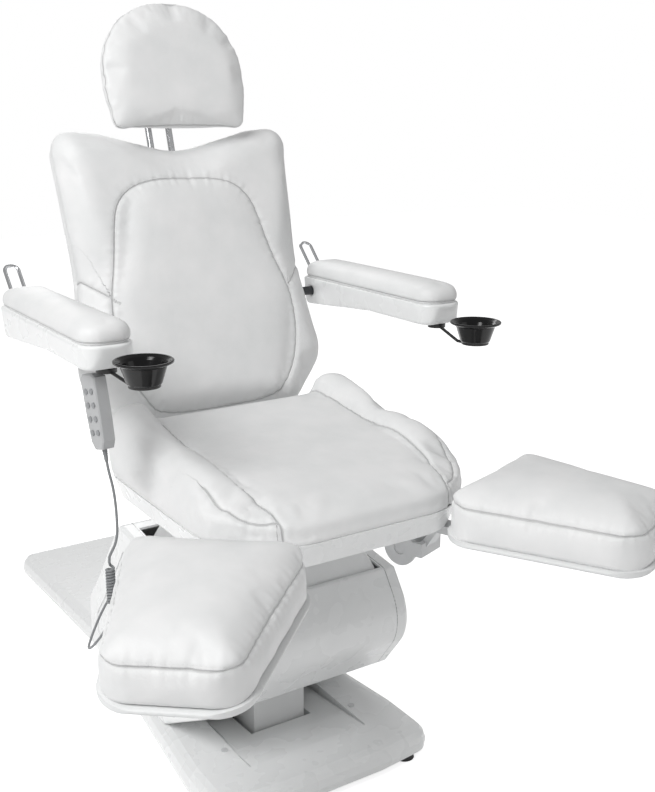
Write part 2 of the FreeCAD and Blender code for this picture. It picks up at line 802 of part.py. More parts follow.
bolster_outline = [
    (size.bolster_inner * 0.86, -size.bolster_front, size.cushion_out * 2),
    (size.seat_half * 1.02, -size.seat_front * 0.68, size.seat_corner * 0.7),
    (size.seat_half * 1.045, size.seat_rear * 0.98, size.seat_rear_corner * 0.8),
    (size.bolster_inner * 0.93, size.seat_rear * 0.96, size.cushion_out * 2),
    (size.bolster_inner * 1.01, 0, size.seat_corner),
]
bolster_rings = [rounded(offset_corners(bolster_outline, fat * 0.4), level(cushion_low + fat))]
low_front = size.bolster_front_top - cushion_low
low_rear = size.bolster_rear_top - cushion_low
for up_share, inset_share in ((0.45, 0), (0.75, 0.2), (0.92, 1), (1.02, 2.8)):
    bolster_rings.append(rounded(
        offset_corners(bolster_outline, fat * inset_share),
        tilted(cushion_low + low_front * up_share, cushion_low + low_rear * up_share)))
bolster = skin(bolster_rings)
groove_rings = []
for drop in (size.cushion_out, size.cushion_front_top - size.bolster_rear_top):
    groove_rings.append(rounded(
        offset_corners(bolster_outline, -size.seat_channel / 2),
        tilted(size.cushion_front_top - drop, size.cushion_rear_top - drop)))
channel = skin(groove_rings)
across_x = VECTOR()
cushion = cushion.cut(channel).cut(channel.mirror(across_x, X_AXIS))
cushion = cushion.fuse([bolster, bolster.mirror(across_x, X_AXIS)])
node(feature("seat_cushion", cushion), "seat_cushion")

control = body("control_box")
lid = sketch(control, "box_outline", "XY_Plane")
draw(lid, [
    (-size.box_wide / 2, -size.box_long / 2), (size.box_wide / 2, -size.box_long / 2),
    (size.box_wide / 2, size.box_long / 2), (-size.box_wide / 2, size.box_long / 2),
])
block = pad(control, lid, "box_block", "box_tall", False)
doc.recompute()
edges_up = [f"Edge{index + 1}" for index, edge in enumerate(block.Shape.Edges)
            if edge.BoundBox.ZLength > size.box_tall * 0.9]
bevel = control.newObject("PartDesign::Chamfer", "box_edges")
bevel.Base = (block, edges_up)
bevel.setExpression("Size", from_sheet("box_tall / 6"))
control.Placement = FreeCAD.Placement(
    VECTOR(0, -(size.frame_front + size.leg_pin_y) / 2, size.shell_floor_height), NO_TURN)
node(control, "control_box")

# Backrest, built flat: x across, y through its thickness, z up its slope
back_spot = turned(VECTOR(), X_AXIS, -size.back_lean)
back_spot.Base = VECTOR(0, size.back_foot_y, size.back_foot_height)
back_foot = VECTOR(0, size.back_foot_y, size.back_foot_height)


def on_back(point):
    """A point of the chair in the backrest's own flat coordinates."""
    return back_spot.inverse().multVec(point)


def facing(depth):
    return lambda x, z: VECTOR(x, depth, z)


def puffed(corners, steps):
    return skin([rounded(offset_corners(corners, inset), facing(depth)) for depth, inset in steps])


back_outline = [
    (size.back_bottom_half, 0, size.back_hip_up * 0.6),
    (size.back_hip_half, size.back_hip_up, size.back_hip_up * 0.9),
    (size.back_waist_half, size.back_waist_up, size.back_waist_up),
    (size.back_shoulder_half, size.back_long, size.back_lobe_half * 0.3),
    (size.back_lobe_half, size.back_long, size.back_lobe_half * 0.5),
]
back_outline = back_outline + [(0, size.back_saddle, size.back_lobe_half * 0.8)] + [
    (-x, z, radius) for x, z, radius in reversed(back_outline)]
panel_outline = mirrored([
    (size.panel_foot_half, size.panel_foot_up, size.panel_foot_up),
    (size.panel_low_half, size.back_hip_up * 1.3, size.back_waist_up * 0.5),
    (size.panel_wide_half, size.back_waist_up * 0.82, size.panel_foot_half * 0.45),
    (size.panel_top_half * 1.25, size.back_waist_up * 1.15, size.back_waist_up * 0.4),
    (size.panel_top_half, size.panel_long, size.panel_top_half * 0.55),
])
thick = size.back_thick
back_steps = [(-0.07, 68), (-0.01, 42), (0.12, 22), (0.3, 5), (0.5, 0), (0.8, 10), (1, 24)]
inset_unit = thick / 84
cushion = puffed(back_outline, [(thick * depth, inset_unit * inset) for depth, inset in back_steps])
recess = puffed(panel_outline, [(-thick, -size.seat_channel / 2),
                                (size.channel_deep, -size.seat_channel / 2)])
panel_steps = [(-1.6, 74), (-1.25, 36), (-0.6, 13), (0.2, 3), (1, 0), (3, 0)]
panel_lift = size.panel_rise
panel = puffed(panel_outline, [
    (panel_lift * depth - thick * 0.06, inset_unit * inset) for depth, inset in panel_steps])
cushion = cushion.cut(recess).fuse(panel)
arm_pin = on_back(VECTOR(0, size.arm_hinge_y, size.arm_hinge_height))
for side in (-1, 1):
    hole = Part.makeCylinder(
        size.arm_pin_radius + size.seat_gap, size.arm_x - size.back_rail_x,
        VECTOR(side * size.back_rail_x, arm_pin.y, arm_pin.z), X_AXIS * side)
    room = slab(
        side * size.back_rail_x - size.back_tube / 2 - size.seat_gap,
        arm_pin.y - size.arm_pin_radius - size.seat_gap,
        arm_pin.z - size.back_tube - size.seat_gap,
        side * size.back_rail_x + size.back_tube / 2 + size.seat_gap,
        thick + size.overrun, arm_pin.z + size.back_tube + size.seat_gap)
    cushion = cushion.cut(hole.fuse(room))
node(feature("back_cushion", cushion, back_spot), "back_cushion")

shell_front = thick + size.seat_gap
shell_steps = [
    (shell_front, size.seat_draft * 1.8), (shell_front + size.back_shell_thick * 0.5, size.seat_draft * 2.4),
    (shell_front + size.back_shell_thick * 0.86, size.seat_draft * 3),
    (shell_front + size.back_shell_thick, size.seat_draft * 4),
]
rear = puffed(back_outline, shell_steps)
rear = rear.cut(puffed(back_outline, [
    (shell_front - size.overrun, size.seat_draft * 2.4 + size.shell_wall),
    (shell_front + size.back_shell_thick * 0.5, size.seat_draft * 2.4 + size.shell_wall),
    (shell_front + size.back_shell_thick - size.shell_wall, size.seat_draft * 4 + size.shell_wall),
]))
ear_low = size.back_hip_up * 0.5
for side in (-1, 1):
    low_x, high_x = sorted((side * (size.back_ear_x - size.ear_thick * 2),
                            side * (size.back_ear_x + size.ear_thick)))
    rear = rear.cut(slab(low_x, shell_front - size.overrun, -size.overrun, high_x,
                         shell_front + size.back_tube + size.seat_gap * 5, ear_low))
    rear = rear.cut(Part.makeCylinder(
        size.rod_radius * 2, size.overrun * 5,
        VECTOR(side * size.rod_x, thick + size.rod_radius * 2.4, size.back_saddle - size.overrun * 4),
        Z_AXIS))
    rear = rear.cut(Part.makeCylinder(
        size.arm_pin_radius + size.seat_gap, size.arm_x - size.back_rail_x,
        VECTOR(side * size.back_rail_x, arm_pin.y, arm_pin.z), X_AXIS * side))
node(feature("back_shell", rear, back_spot), "back_shell")

tube_y = "back_thick + seat_gap * 2 + back_tube / 2"
tube_foot = "seat_draft * 4 + shell_wall + seat_gap"
tube_rise = "back_long * 0.76"
tubes = []
for side in (-1, 1):
    tag = "left" if side < 0 else "right"
    tubes.append(box("back_tube_" + tag, f"{side} * back_rail_x", tube_y, tube_foot,
                     "back_tube", "back_tube", tube_rise))
    near = on_back(VECTOR(0, size.back_hinge_y, size.back_hinge_height))
    tube_front = thick + size.seat_gap * 2
    tube_back = tube_front + size.back_tube
    rim = size.ear_round
    plate_low = near.z - rim
    ear = prism([
        (near.y - rim * 0.4, near.z - rim), (tube_back, plate_low - rim * 0.6),
        (tube_back, size.back_hip_up * 0.75),
        (tube_front, size.back_hip_up * 0.75), (tube_front, -size.seat_gap * 8),
        (near.y + rim * 0.4, near.z + rim), (near.y - rim * 0.4, near.z + rim),
        (near.y - rim, near.z + rim * 0.4), (near.y - rim, near.z - rim * 0.4),
    ], side * size.back_ear_x - size.ear_thick / 2, side * size.back_ear_x + size.ear_thick / 2)
    tubes.append(feature("back_ear_" + tag, ear))
    pin_from = side * (size.back_ear_x - size.ear_thick / 2)
    tubes.append(feature("back_pin_" + tag, Part.makeCylinder(
        size.hinge_pin_radius, size.hinge_x - size.back_ear_x + size.ear_thick * 1.5,
        VECTOR(pin_from, near.y, near.z), X_AXIS * side)))
    tubes.append(feature("arm_pin_" + tag, Part.makeCylinder(
        size.arm_pin_radius, size.arm_x - size.arm_half + size.arm_pin_reach - size.back_rail_x,
        VECTOR(side * size.back_rail_x, arm_pin.y, arm_pin.z), X_AXIS * side)))
    tubes.append(feature("arm_block_" + tag, slab(
        side * size.back_rail_x - size.back_tube / 2, arm_pin.y - size.arm_pin_radius,
        arm_pin.z - size.back_tube,
        side * size.back_rail_x + size.back_tube / 2, tube_front + size.back_tube / 2,
        arm_pin.z + size.back_tube)))
    sleeve = Part.makeCylinder(
        size.rod_radius * 1.7, size.back_tube * 2.4,
        VECTOR(side * size.rod_x, thick + size.rod_radius * 2.4, size.back_long * 0.68), Z_AXIS)
    tubes.append(feature("rod_sleeve_" + tag, sleeve))
for share, tag in ((0.16, "low"), (0.5, "middle"), (0.8, "high")):
    tubes.append(box("back_cross_" + tag, "0", tube_y, f"back_long * {share}", "back_rail_x * 2",
                     "back_tube", "back_tube"))
steel = fuse("back_steel_whole", *tubes)
rod_holes = []
for side in (-1, 1):
    rod_holes.append(feature("rod_hole", Part.makeCylinder(
        size.rod_radius + size.pin_play, size.back_long,
        VECTOR(side * size.rod_x, thick + size.rod_radius * 2.4, size.back_saddle * 0.5), Z_AXIS)))
frame_steel = cut("back_steel", steel, fuse("rod_holes", *rod_holes))
frame_steel.Placement = back_spot
node(frame_steel, "back_frame")

# Headrest: two rods with a clamp slide in the back; a plate and cushion tilt on the clamp
rod_depth = "back_thick + rod_radius * 2.4"
rods = [rod("rod_" + tag, f"{side} * rod_x", rod_depth, "rod_low_up", "rod_radius",
            "rod_high_up - rod_low_up")
        for side, tag in ((-1, "left"), (1, "right"))]
rods.append(box("clamp_bar", "0", rod_depth, "rod_high_up", "clamp_half * 2", "clamp_thick", "clamp_tall"))
rod_set = fuse("rods", *rods)
rod_set.Placement = back_spot
node(rod_set, "headrest_rods")

clamp_mid = thick + size.rod_radius * 2.4
head_spot = turned(VECTOR(0, size.head_y_foot, size.head_foot_height), X_AXIS, -size.head_lean)
cushion_steps = [(-0.1, 62), (-0.02, 34), (0.12, 14), (0.34, 3), (0.6, 7), (0.86, 20), (1, 34)]
head_outline = mirrored([
    (size.head_foot_half, 0, size.head_foot_half * 0.15),
    (size.head_wide_half, size.head_long * 0.3, size.head_long * 0.4),
    (size.head_wide_half * 0.98, size.head_long, size.head_wide_half * 0.9),
])
pad_thick = size.head_thick_pad
head_unit = pad_thick / 46
head_cushion = puffed(head_outline, [
    (pad_thick * depth, head_unit * inset) for depth, inset in cushion_steps])
node(feature("headrest_cushion", head_cushion, head_spot), "headrest_cushion")

bar_middle = VECTOR(0, clamp_mid, size.rod_high_up + size.clamp_tall / 2)
bar_world = back_spot.multVec(bar_middle)
bar_local = head_spot.inverse().multVec(bar_world)
plate_front = pad_thick + size.seat_gap
pivot_y = plate_front + size.head_plate_thick + size.clamp_tall * 0.35
pivot_z = bar_local.z
plate_width = size.head_plate_half
head_plate = slab(-plate_width, plate_front, pivot_z - size.head_plate_long / 2,
                  plate_width, plate_front + size.head_plate_thick, pivot_z + size.head_plate_long / 2)
rib_out = size.clamp_half + size.slide_gap + size.ear_thick
for side in (-1, 1):
    low_x, high_x = sorted((side * (rib_out - size.ear_thick), side * rib_out))
    rib = prism([
        (plate_front, pivot_z - size.clamp_tall * 1.6),
        (bar_local.y + size.clamp_tall * 0.4, pivot_z - size.clamp_tall / 2),
        (bar_local.y + size.clamp_tall * 0.4, pivot_z + size.clamp_tall / 2),
        (plate_front, pivot_z + size.clamp_tall * 1.6),
    ], low_x, high_x)
    rib = rib.cut(pin_bore(bar_local.y, pivot_z, size.rod_radius + size.pin_play, low_x, high_x))
    head_plate = head_plate.fuse(rib)
node(feature("headrest_plate", head_plate, head_spot), "headrest_plate")

clamp_pin = Part.makeCylinder(size.rod_radius, rib_out * 2, VECTOR(-rib_out, bar_middle.y, bar_middle.z),
                              X_AXIS)
knobs = clamp_pin
for side in (-1, 1):
    knob = Part.makeCylinder(size.rod_radius * 2, size.ear_thick * 1.5,
                             VECTOR(side * (rib_out + size.slide_gap), bar_middle.y, bar_middle.z),
                             X_AXIS * side)
    stub = Part.makeCylinder(size.rod_radius, size.ear_thick,
                             VECTOR(side * rib_out, bar_middle.y, bar_middle.z), X_AXIS * side)
    knobs = knobs.fuse([knob, stub])
bar = slab(-size.clamp_half, bar_middle.y - size.clamp_thick / 2, size.rod_high_up, size.clamp_half,
           bar_middle.y + size.clamp_thick / 2,
           size.rod_high_up + size.clamp_tall)
knobs = knobs.cut(bar)
node(feature("headrest_clamp", knobs, back_spot), "headrest_clamp")

# Armrests: tapered body, crowned pad and a sprung loop lever at the rear end
arm_profile = [
    (-size.arm_front, size.arm_split), (-size.arm_front * 0.95, size.arm_under_front + size.disc_thick * 1.5),
    (-size.arm_front * 0.9, size.arm_under_front), (size.disc_y, size.arm_under_front),
    (size.arm_rear * 0.93, size.arm_under_rear), (size.arm_rear, size.arm_under_rear + size.disc_radius),
    (size.arm_rear, size.arm_split),
]
arm_plan = [
    (-size.arm_half, -size.arm_front, size.arm_half * 0.8),
    (size.arm_half, -size.arm_front, size.arm_half * 0.8),
    (size.arm_half, size.arm_rear, size.arm_half * 0.4), (-size.arm_half, size.arm_rear, size.arm_half * 0.4),
]

AXLE_SHARE = 1.25
PAD_SHORT_SHARE = 0.022


def armrest(side):
    taper = size.arm_half - size.arm_foot_half
    blank = stack(arm_plan, [(size.arm_under_rear - size.seat_gap, taper), (size.arm_split, 0)])
    shape = blank.common(prism(arm_profile, -size.arm_half * 2, size.arm_half * 2))
    inner = -side * size.arm_half
    shape = shape.cut(Part.makeCylinder(
        size.arm_pin_radius + size.pin_play, size.arm_pin_reach + size.seat_gap,
        VECTOR(inner, size.arm_hinge_y, size.arm_hinge_height), X_AXIS * side))
    shape = shape.cut(Part.makeCylinder(
        size.disc_pin_radius + size.pin_play, size.disc_pin_long + size.seat_gap,
        VECTOR(0, -size.disc_y, size.arm_under_front), Z_AXIS))
    room = size.loop_wire * AXLE_SHARE + size.seat_gap
    shape = shape.cut(slab(
        -size.loop_half - room, size.loop_foot_y - room, size.loop_foot_height - room,
        size.loop_half + room, size.arm_rear + size.overrun, size.arm_split + size.overrun))
    return shape


def arm_cushion():
    plan = [(x, y * (1 - PAD_SHORT_SHARE), radius) for x, y, radius in arm_plan]
    low = size.arm_split + size.seat_gap
    tall = size.arm_pad_top - low
    return stack(plan, [
        (low, size.cushion_out * 0.5), (low + tall * 0.15, 0), (low + tall * 0.5, 0),
        (low + tall * 0.8, size.cushion_out * 0.6), (low + tall, size.cushion_out * 2.2),
    ])


def loop_lever():
    foot = VECTOR(size.loop_half, size.loop_foot_y, size.loop_foot_height)
    top = VECTOR(size.loop_half, size.loop_top_y, size.loop_top_height)
    way = top - foot
    way.normalize()
    turn_from = top - way * size.loop_half
    crown = VECTOR(0, top.y, top.z)
    round_share = math.sqrt(0.5)
    bend = turn_from + way * (size.loop_half * round_share) - X_AXIS * size.loop_half * (1 - round_share)
    flip = FreeCAD.Matrix()
    flip.scale(-1, 1, 1)
    other = [flip.multVec(point) for point in (crown, bend, turn_from, foot)]
    path = Part.Wire([
        Part.LineSegment(foot, turn_from).toShape(), Part.Arc(turn_from, bend, crown).toShape(),
        Part.Arc(crown, other[1], other[2]).toShape(), Part.LineSegment(other[2], other[3]).toShape(),
    ])
    ring = Part.Wire([Part.Circle(foot, way, size.loop_wire).toShape()])
    wire = path.makePipeShell([ring], True, False)
    axle = Part.makeCylinder(size.loop_wire * AXLE_SHARE, (size.loop_half + size.loop_wire) * 2,
                             foot - X_AXIS * (size.loop_half * 2 + size.loop_wire), X_AXIS)
    return wire.fuse(axle)


for side, tag in ((-1, "left"), (1, "right")):
    spot = FreeCAD.Placement(VECTOR(side * size.arm_x, 0, 0), NO_TURN)
    node(feature("arm_body_" + tag, armrest(side), spot), "arm_body_" + tag)
    node(feature("arm_pad_" + tag, arm_cushion(), spot), "arm_pad_" + tag)
    node(feature("arm_loop_" + tag, loop_lever(), spot), "arm_loop_" + tag)

# Bowl holders: pivot disc under the armrest, slanted rod and carrier plate; rolled-rim bowls
disc_top = size.arm_under_front - size.seat_gap
disc_low = disc_top - size.disc_thick


def bowl_holder(carrier_top):
    disc = Part.makeCylinder(size.disc_radius, size.disc_thick, VECTOR(0, 0, disc_low))
    stub = Part.makeCylinder(size.disc_pin_radius, size.disc_pin_long + size.disc_thick,
                             VECTOR(0, 0, disc_low))
    carrier = Part.makeCylinder(size.carrier_radius, size.carrier_thick,
                                VECTOR(size.bowl_reach, 0, carrier_top - size.carrier_thick))
    start = VECTOR(size.disc_radius * 0.3, 0, disc_low + size.disc_thick * 0.4)
    level_z = carrier_top - size.carrier_thick * 0.7 - size.bowl_rod_radius
    knee = VECTOR(size.bowl_reach - size.bowl_rim_radius * 0.9, 0, level_z)
    run = knee - start
    slant = Part.makeCylinder(size.bowl_rod_radius, run.Length, start, run)
    elbow = Part.makeSphere(size.bowl_rod_radius, knee)
    under = Part.makeCylinder(size.bowl_rod_radius, size.bowl_reach - knee.x, knee, X_AXIS)
    return disc.fuse([stub, carrier, slant, elbow, under])


for side, tag, turn, drop in (
    (-1, "left", size.bowl_left_turn, size.carrier_drop_left),
    (1, "right", size.bowl_right_turn, size.carrier_drop_right),
):
    carrier_top = disc_low - drop
    hub = VECTOR(side * size.arm_x, -size.disc_y, 0)
    spot = turned(hub, Z_AXIS, turn)
    node(feature("bowl_arm_" + tag, bowl_holder(carrier_top), spot), "bowl_arm_" + tag)
    reach = spot.multVec(VECTOR(size.bowl_reach, 0, 0))
    bowl = body("bowl_body_" + tag, FreeCAD.Placement(VECTOR(reach.x, reach.y, carrier_top), NO_TURN))
    section = sketch(bowl, "bowl_section_" + tag, "XZ_Plane")
    wall, tall, rim = size.bowl_wall, size.bowl_tall, size.bowl_rim_thick
    draw(section, [
        (0, 0), (size.bowl_base_radius, 0), (size.bowl_base_radius + wall, wall),
        (size.bowl_body_radius, tall - rim * 1.8), (size.bowl_rim_radius - wall, tall - rim),
        (size.bowl_rim_radius, tall - rim * 0.7), (size.bowl_rim_radius, tall - rim * 0.2),
        (size.bowl_rim_radius - wall * 0.6, tall), (size.bowl_rim_radius - wall * 1.6, tall),
        (size.bowl_body_radius + wall * 0.2, tall - rim * 0.8),
        (size.bowl_body_radius - wall * 1.2, tall - rim * 1.7),
        (size.bowl_base_radius - wall * 0.4, wall * 1.7),
        (size.bowl_base_radius - wall * 1.6, wall), (0, wall),
    ])
    spin = bowl.newObject("PartDesign::Revolution", "bowl_spin_" + tag)
    spin.Profile = section
    spin.ReferenceAxis = (section, ["V_Axis"])
    spin.Angle = 360
    node(bowl, "bowl_" + tag)

# Leg rests, built along x from the swing pin: bracket, pitch hub, arm, rail, board and cushion
ring_out = size.leg_pin_radius * 2
bracket_top = size.seat_bottom - size.seat_gap
pin_foot = size.leg_pin_top - size.leg_pin_radius * 3.4
barrel_half = size.hub_half - size.hub_cheek - size.slide_gap


def swing_bracket():
    ring = Part.makeCylinder(ring_out, bracket_top - pin_foot + size.seat_gap * 4,
                             VECTOR(0, 0, pin_foot - size.seat_gap * 4))
    neck_points = [
        VECTOR(ring_out * 0.5, -barrel_half, bracket_top - size.swing_plate * 0.2),
        VECTOR(size.hub_ahead * 0.8, -barrel_half, bracket_top - size.swing_plate * 0.2),
        VECTOR(size.hub_ahead + size.hub_radius * 0.5, -barrel_half, size.hub_height + size.hub_radius * 0.4),
        VECTOR(size.hub_ahead, -barrel_half, size.hub_height - size.hub_radius * 0.3),
        VECTOR(size.hub_ahead - size.hub_radius * 0.5, -barrel_half, size.hub_height),
        VECTOR(ring_out * 0.5, -barrel_half, pin_foot),
    ]
    neck = Part.Face(Part.makePolygon(neck_points + neck_points[:1])).extrude(Y_AXIS * barrel_half * 2)
    barrel = Part.makeCylinder(size.hub_radius * 0.9, barrel_half * 2,
                               VECTOR(size.hub_ahead, -barrel_half, size.hub_height), Y_AXIS)
    axle = Part.makeCylinder(size.leg_pin_radius, size.hub_half * 2 - size.hub_cheek * 0.5,
                             VECTOR(size.hub_ahead, -size.hub_half + size.hub_cheek * 0.25, size.hub_height),
                             Y_AXIS)
    bracket = ring.fuse([neck, barrel, axle])
    return bracket.cut(Part.makeCylinder(size.leg_pin_radius + size.pin_play, size.leg_pin_top,
                                         VECTOR(0, 0, pin_foot)))


def leg_arm():
    cheeks = []
    for low in (-size.hub_half, size.hub_half - size.hub_cheek):
        cheeks.append(Part.makeCylinder(size.hub_radius, size.hub_cheek,
                                        VECTOR(size.hub_ahead, low, size.hub_height), Y_AXIS))
        web = slab(size.hub_ahead + size.hub_radius * 0.4, low, size.hub_height - size.leg_arm_thick / 2,
                   size.hub_ahead + size.hub_radius * 1.45, low + size.hub_cheek,
                   size.hub_height + size.leg_arm_thick * 1.2)
        cheeks.append(web)
    bridge = slab(size.hub_ahead + size.hub_radius * 1.15, -size.hub_half,
                  size.hub_height - size.leg_arm_thick / 2,
                  size.hub_ahead + size.hub_radius * 1.45, size.hub_half,
                  size.hub_height + size.leg_arm_thick * 1.2)
    arm_top = size.hub_height + size.board_up - size.leg_rail_thick / 2 + size.leg_arm_thick / 2
    start = size.hub_ahead + size.hub_radius * 1.15
    under = size.hub_height + size.board_up * 0.48
    knee = size.hub_ahead + size.board_start * 0.5
    rise = size.hub_ahead + size.board_start * 0.93
    flat = size.hub_ahead + size.board_start * 1.2
    end = size.hub_ahead + size.leg_arm_reach
    half = size.leg_arm_width / 2
    outline = [
        (start, size.hub_height - size.leg_arm_thick / 2), (knee, under), (rise, under),
        (flat, arm_top - size.leg_arm_thick), (end, arm_top - size.leg_arm_thick), (end, arm_top),
        (flat, arm_top),
        (rise, under + size.leg_arm_thick), (knee, under + size.leg_arm_thick),
        (start, size.hub_height + size.leg_arm_thick * 1.2),
    ]
    points = [VECTOR(x, -half, z) for x, z in outline]
    bar = Part.Face(Part.makePolygon(points + points[:1])).extrude(Y_AXIS * half * 2)
    arm = bar.fuse(cheeks + [bridge])
    return arm.cut(Part.makeCylinder(size.leg_pin_radius + size.pin_play, size.hub_half * 2,
                                     VECTOR(size.hub_ahead, -size.hub_half, size.hub_height), Y_AXIS))


def leg_rail():
    """A channel that slides along the arm, under the board."""
    top = size.hub_height + size.board_up
    low = top - size.leg_rail_thick
    half = size.leg_rail_width / 2
    start = size.hub_ahead + size.leg_rail_start + size.leg_travel * 0.25
    end = size.hub_ahead + size.leg_rail_end
    outer = slab(start, -half, low, end, half, top)
    half_room = size.leg_arm_width / 2 + size.slide_gap
    arm_top = top - size.leg_rail_thick / 2 + size.leg_arm_thick / 2
    room = slab(start - size.overrun, -half_room, arm_top - size.leg_arm_thick - size.slide_gap,
                end - size.leg_arm_thick, half_room, arm_top + size.slide_gap)
    return outer.cut(room)


board_half_near = size.board_near_width / 2
board_half_far = size.board_far_width / 2
board_from = size.hub_ahead + size.board_start
board_to = board_from + size.board_long
board_outline = [
    (board_from, -board_half_near, size.board_round), (board_to, -board_half_far, size.board_round),
    (board_to, board_half_far, size.board_round), (board_from, board_half_near, size.board_round),
]


def leg_board():
    low = size.hub_height + size.board_up + size.seat_gap
    return stack(board_outline, [(low, size.board_thick * 0.5), (low + size.board_thick * 0.4, 0),
                                 (low + size.board_thick, 0)])


def leg_cushion():
    low = size.hub_height + size.board_up + size.board_thick + size.seat_gap * 2
    wall = size.leg_pad_wall
    crown = size.leg_pad_crown
    inset = size.leg_pad_in
    return stack(board_outline, [
        (low, inset * 2), (low + wall * 0.2, inset), (low + wall * 0.8, inset), (low + wall, inset * 1.8),
        (low + wall + crown * 0.4, inset * 4.5), (low + wall + crown * 0.8, inset * 10),
        (low + wall + crown, inset * 18),
    ])


for side, tag, swing, pitch in (
    (-1, "left", size.leg_swing_left, size.leg_pitch_left),
    (1, "right", size.leg_swing_right, size.leg_pitch_right),
):
    heading = -90 + side * swing
    pin = VECTOR(side * size.leg_pin_x, -size.leg_pin_y, 0)
    swung = turned(pin, Z_AXIS, heading)
    hub = VECTOR(size.hub_ahead, 0, size.hub_height)
    dip = FreeCAD.Placement(VECTOR(), FreeCAD.Rotation(Y_AXIS, pitch), hub)
    pitched = swung.multiply(dip)
    node(feature("leg_bracket_" + tag, swing_bracket(), swung), "leg_bracket_" + tag)
    node(feature("leg_arm_" + tag, leg_arm(), pitched), "leg_arm_" + tag)
    node(feature("leg_rail_" + tag, leg_rail(), pitched), "leg_rail_" + tag)
    node(feature("leg_board_" + tag, leg_board(), pitched), "leg_board_" + tag)
    node(feature("leg_pad_" + tag, leg_cushion(), pitched), "leg_pad_" + tag)
    print("leg", tag, "hub", swung.multVec(hub), "along", swung.Rotation.multVec(X_AXIS))

# Handset, hung on a hook under the left armrest, with eight buttons in two columns
hand_turn = FreeCAD.Rotation(Z_AXIS, -size.handset_turn).multiply(FreeCAD.Rotation(Y_AXIS,
                                                                                   -size.handset_lean))
hand_spot = FreeCAD.Placement(VECTOR(-size.handset_x, -size.handset_y, size.handset_top), hand_turn)
handset = body("handset_body", hand_spot)
front = sketch(handset, "handset_outline", "XZ_Plane")
half, tall, bevel = size.handset_wide / 2, size.handset_tall, size.handset_round
draw(front, [
    (-half + bevel * 1.6, -tall), (half - bevel * 1.6, -tall), (half - bevel * 0.4, -tall + bevel * 2),
    (half, -tall * 0.55), (half, -bevel), (half - bevel, 0), (-half + bevel, 0), (-half, -bevel),
    (-half, -tall * 0.55), (-half + bevel * 0.4, -tall + bevel * 2),
])
hand_block = pad(handset, front, "handset_block", "handset_deep")
doc.recompute()
front_face = min(hand_block.Shape.Faces, key=lambda face: face.CenterOfMass.y)
rim_edges = [f"Edge{index + 1}" for index, edge in enumerate(hand_block.Shape.Edges)
             if edge.BoundBox.YMax < front_face.CenterOfMass.y + size.seat_gap]
bevelled = handset.newObject("PartDesign::Chamfer", "handset_bevel")
bevelled.Base = (hand_block, rim_edges)
bevelled.setExpression("Size", from_sheet("handset_round / 3"))
wells = sketch(handset, "button_wells", "XZ_Plane")
button_spots = []
for row in range(4):
    for column in (-1, 1):
        x = column * size.button_step_x / 2
        z = -size.button_first_down - row * size.button_step_up
        button_spots.append((x, z))
        wells.addGeometry(Part.Circle(VECTOR(x, z, 0), Z_AXIS, size.button_radius + size.button_play), False)
face_depth = size.handset_deep / 2
wells.AttachmentOffset = FreeCAD.Placement(VECTOR(0, 0, face_depth), NO_TURN)
sunk = handset.newObject("PartDesign::Pocket", "button_wells_cut")
sunk.Profile = wells
sunk.setExpression("Length", from_sheet("button_depth"))
node(handset, "handset_shell")

for index, (x, z) in enumerate(button_spots, start=1):
    button = doc.addObject("Part::Cylinder", f"button_{index}")
    bind(button, Radius="button_radius", Height="button_depth + button_proud - button_proud * 0.8")
    inner = -face_depth + size.button_depth - size.button_proud * 0.8
    local = FreeCAD.Placement(VECTOR(x, inner, z), FreeCAD.Rotation(Z_AXIS, -Y_AXIS))
    button.Placement = hand_spot.multiply(local)
    node(button, f"handset_button_{index}")
print("button axis", hand_spot.Rotation.multVec(Y_AXIS), "hook way", hand_spot.Rotation.multVec(-Y_AXIS))

hook_top = size.arm_under_front - size.seat_gap
hook_back = face_depth + size.seat_gap
strip = slab(-size.hook_width / 2, hook_back, -size.handset_tall * 0.45, size.hook_width / 2,
             hook_back + size.hook_thick, size.overrun)
strip.Placement = hand_spot
above = slab(-size.arm_x * 2, -size.arm_front * 2, hook_top, size.overrun, size.arm_rear, size.arm_split)
strip = strip.cut(above)
top_plate = slab(-size.hook_width / 2, hook_back - size.hook_width * 0.2, 0, size.hook_width / 2,
                 hook_back + size.hook_width, size.hook_thick)
flat = FreeCAD.Placement(
    VECTOR(-size.handset_x, -size.handset_y, hook_top - size.hook_thick),
    FreeCAD.Rotation(Z_AXIS, -size.handset_turn))
top_plate.Placement = flat
node(feature("handset_hook", strip.fuse(top_plate)), "handset_hook")


def cord_tube(points, radius, name):
    """A tube along straight runs joined by tangent arcs."""
    count = len(points)
    edges = []
    radii = []
    last = points[0]
    for index in range(1, count - 1):
        here = points[index]
        back, ahead = points[index - 1] - here, points[index + 1] - here
        turn = math.pi - back.getAngle(ahead)
        shorter = min(back.Length, ahead.Length)
        reach = shorter * CORD_ARC_SHARE
        bend = reach / math.tan(turn / 2)
        radii.append(bend)
        back.normalize()
        ahead.normalize()
        middle = back + ahead
        middle.normalize()
        start, end = here + back * reach, here + ahead * reach
        deep = bend / math.cos(turn / 2) - bend
        edges.append(Part.LineSegment(last, start).toShape())
        edges.append(Part.Arc(start, here + middle * deep, end).toShape())
        last = end
    edges.append(Part.LineSegment(last, points[-1]).toShape())
    path = Part.Wire(edges)
    ring = Part.Wire([Part.Circle(points[0], points[1] - points[0], radius).toShape()])
    tube = path.makePipeShell([ring], True, False)
    print(name, "radii", [round(bend, 1) for bend in radii], "length", round(path.Length, 1),
          "volume ratio", round(tube.Volume / (math.pi * radius * radius * path.Length), 4))
    return tube


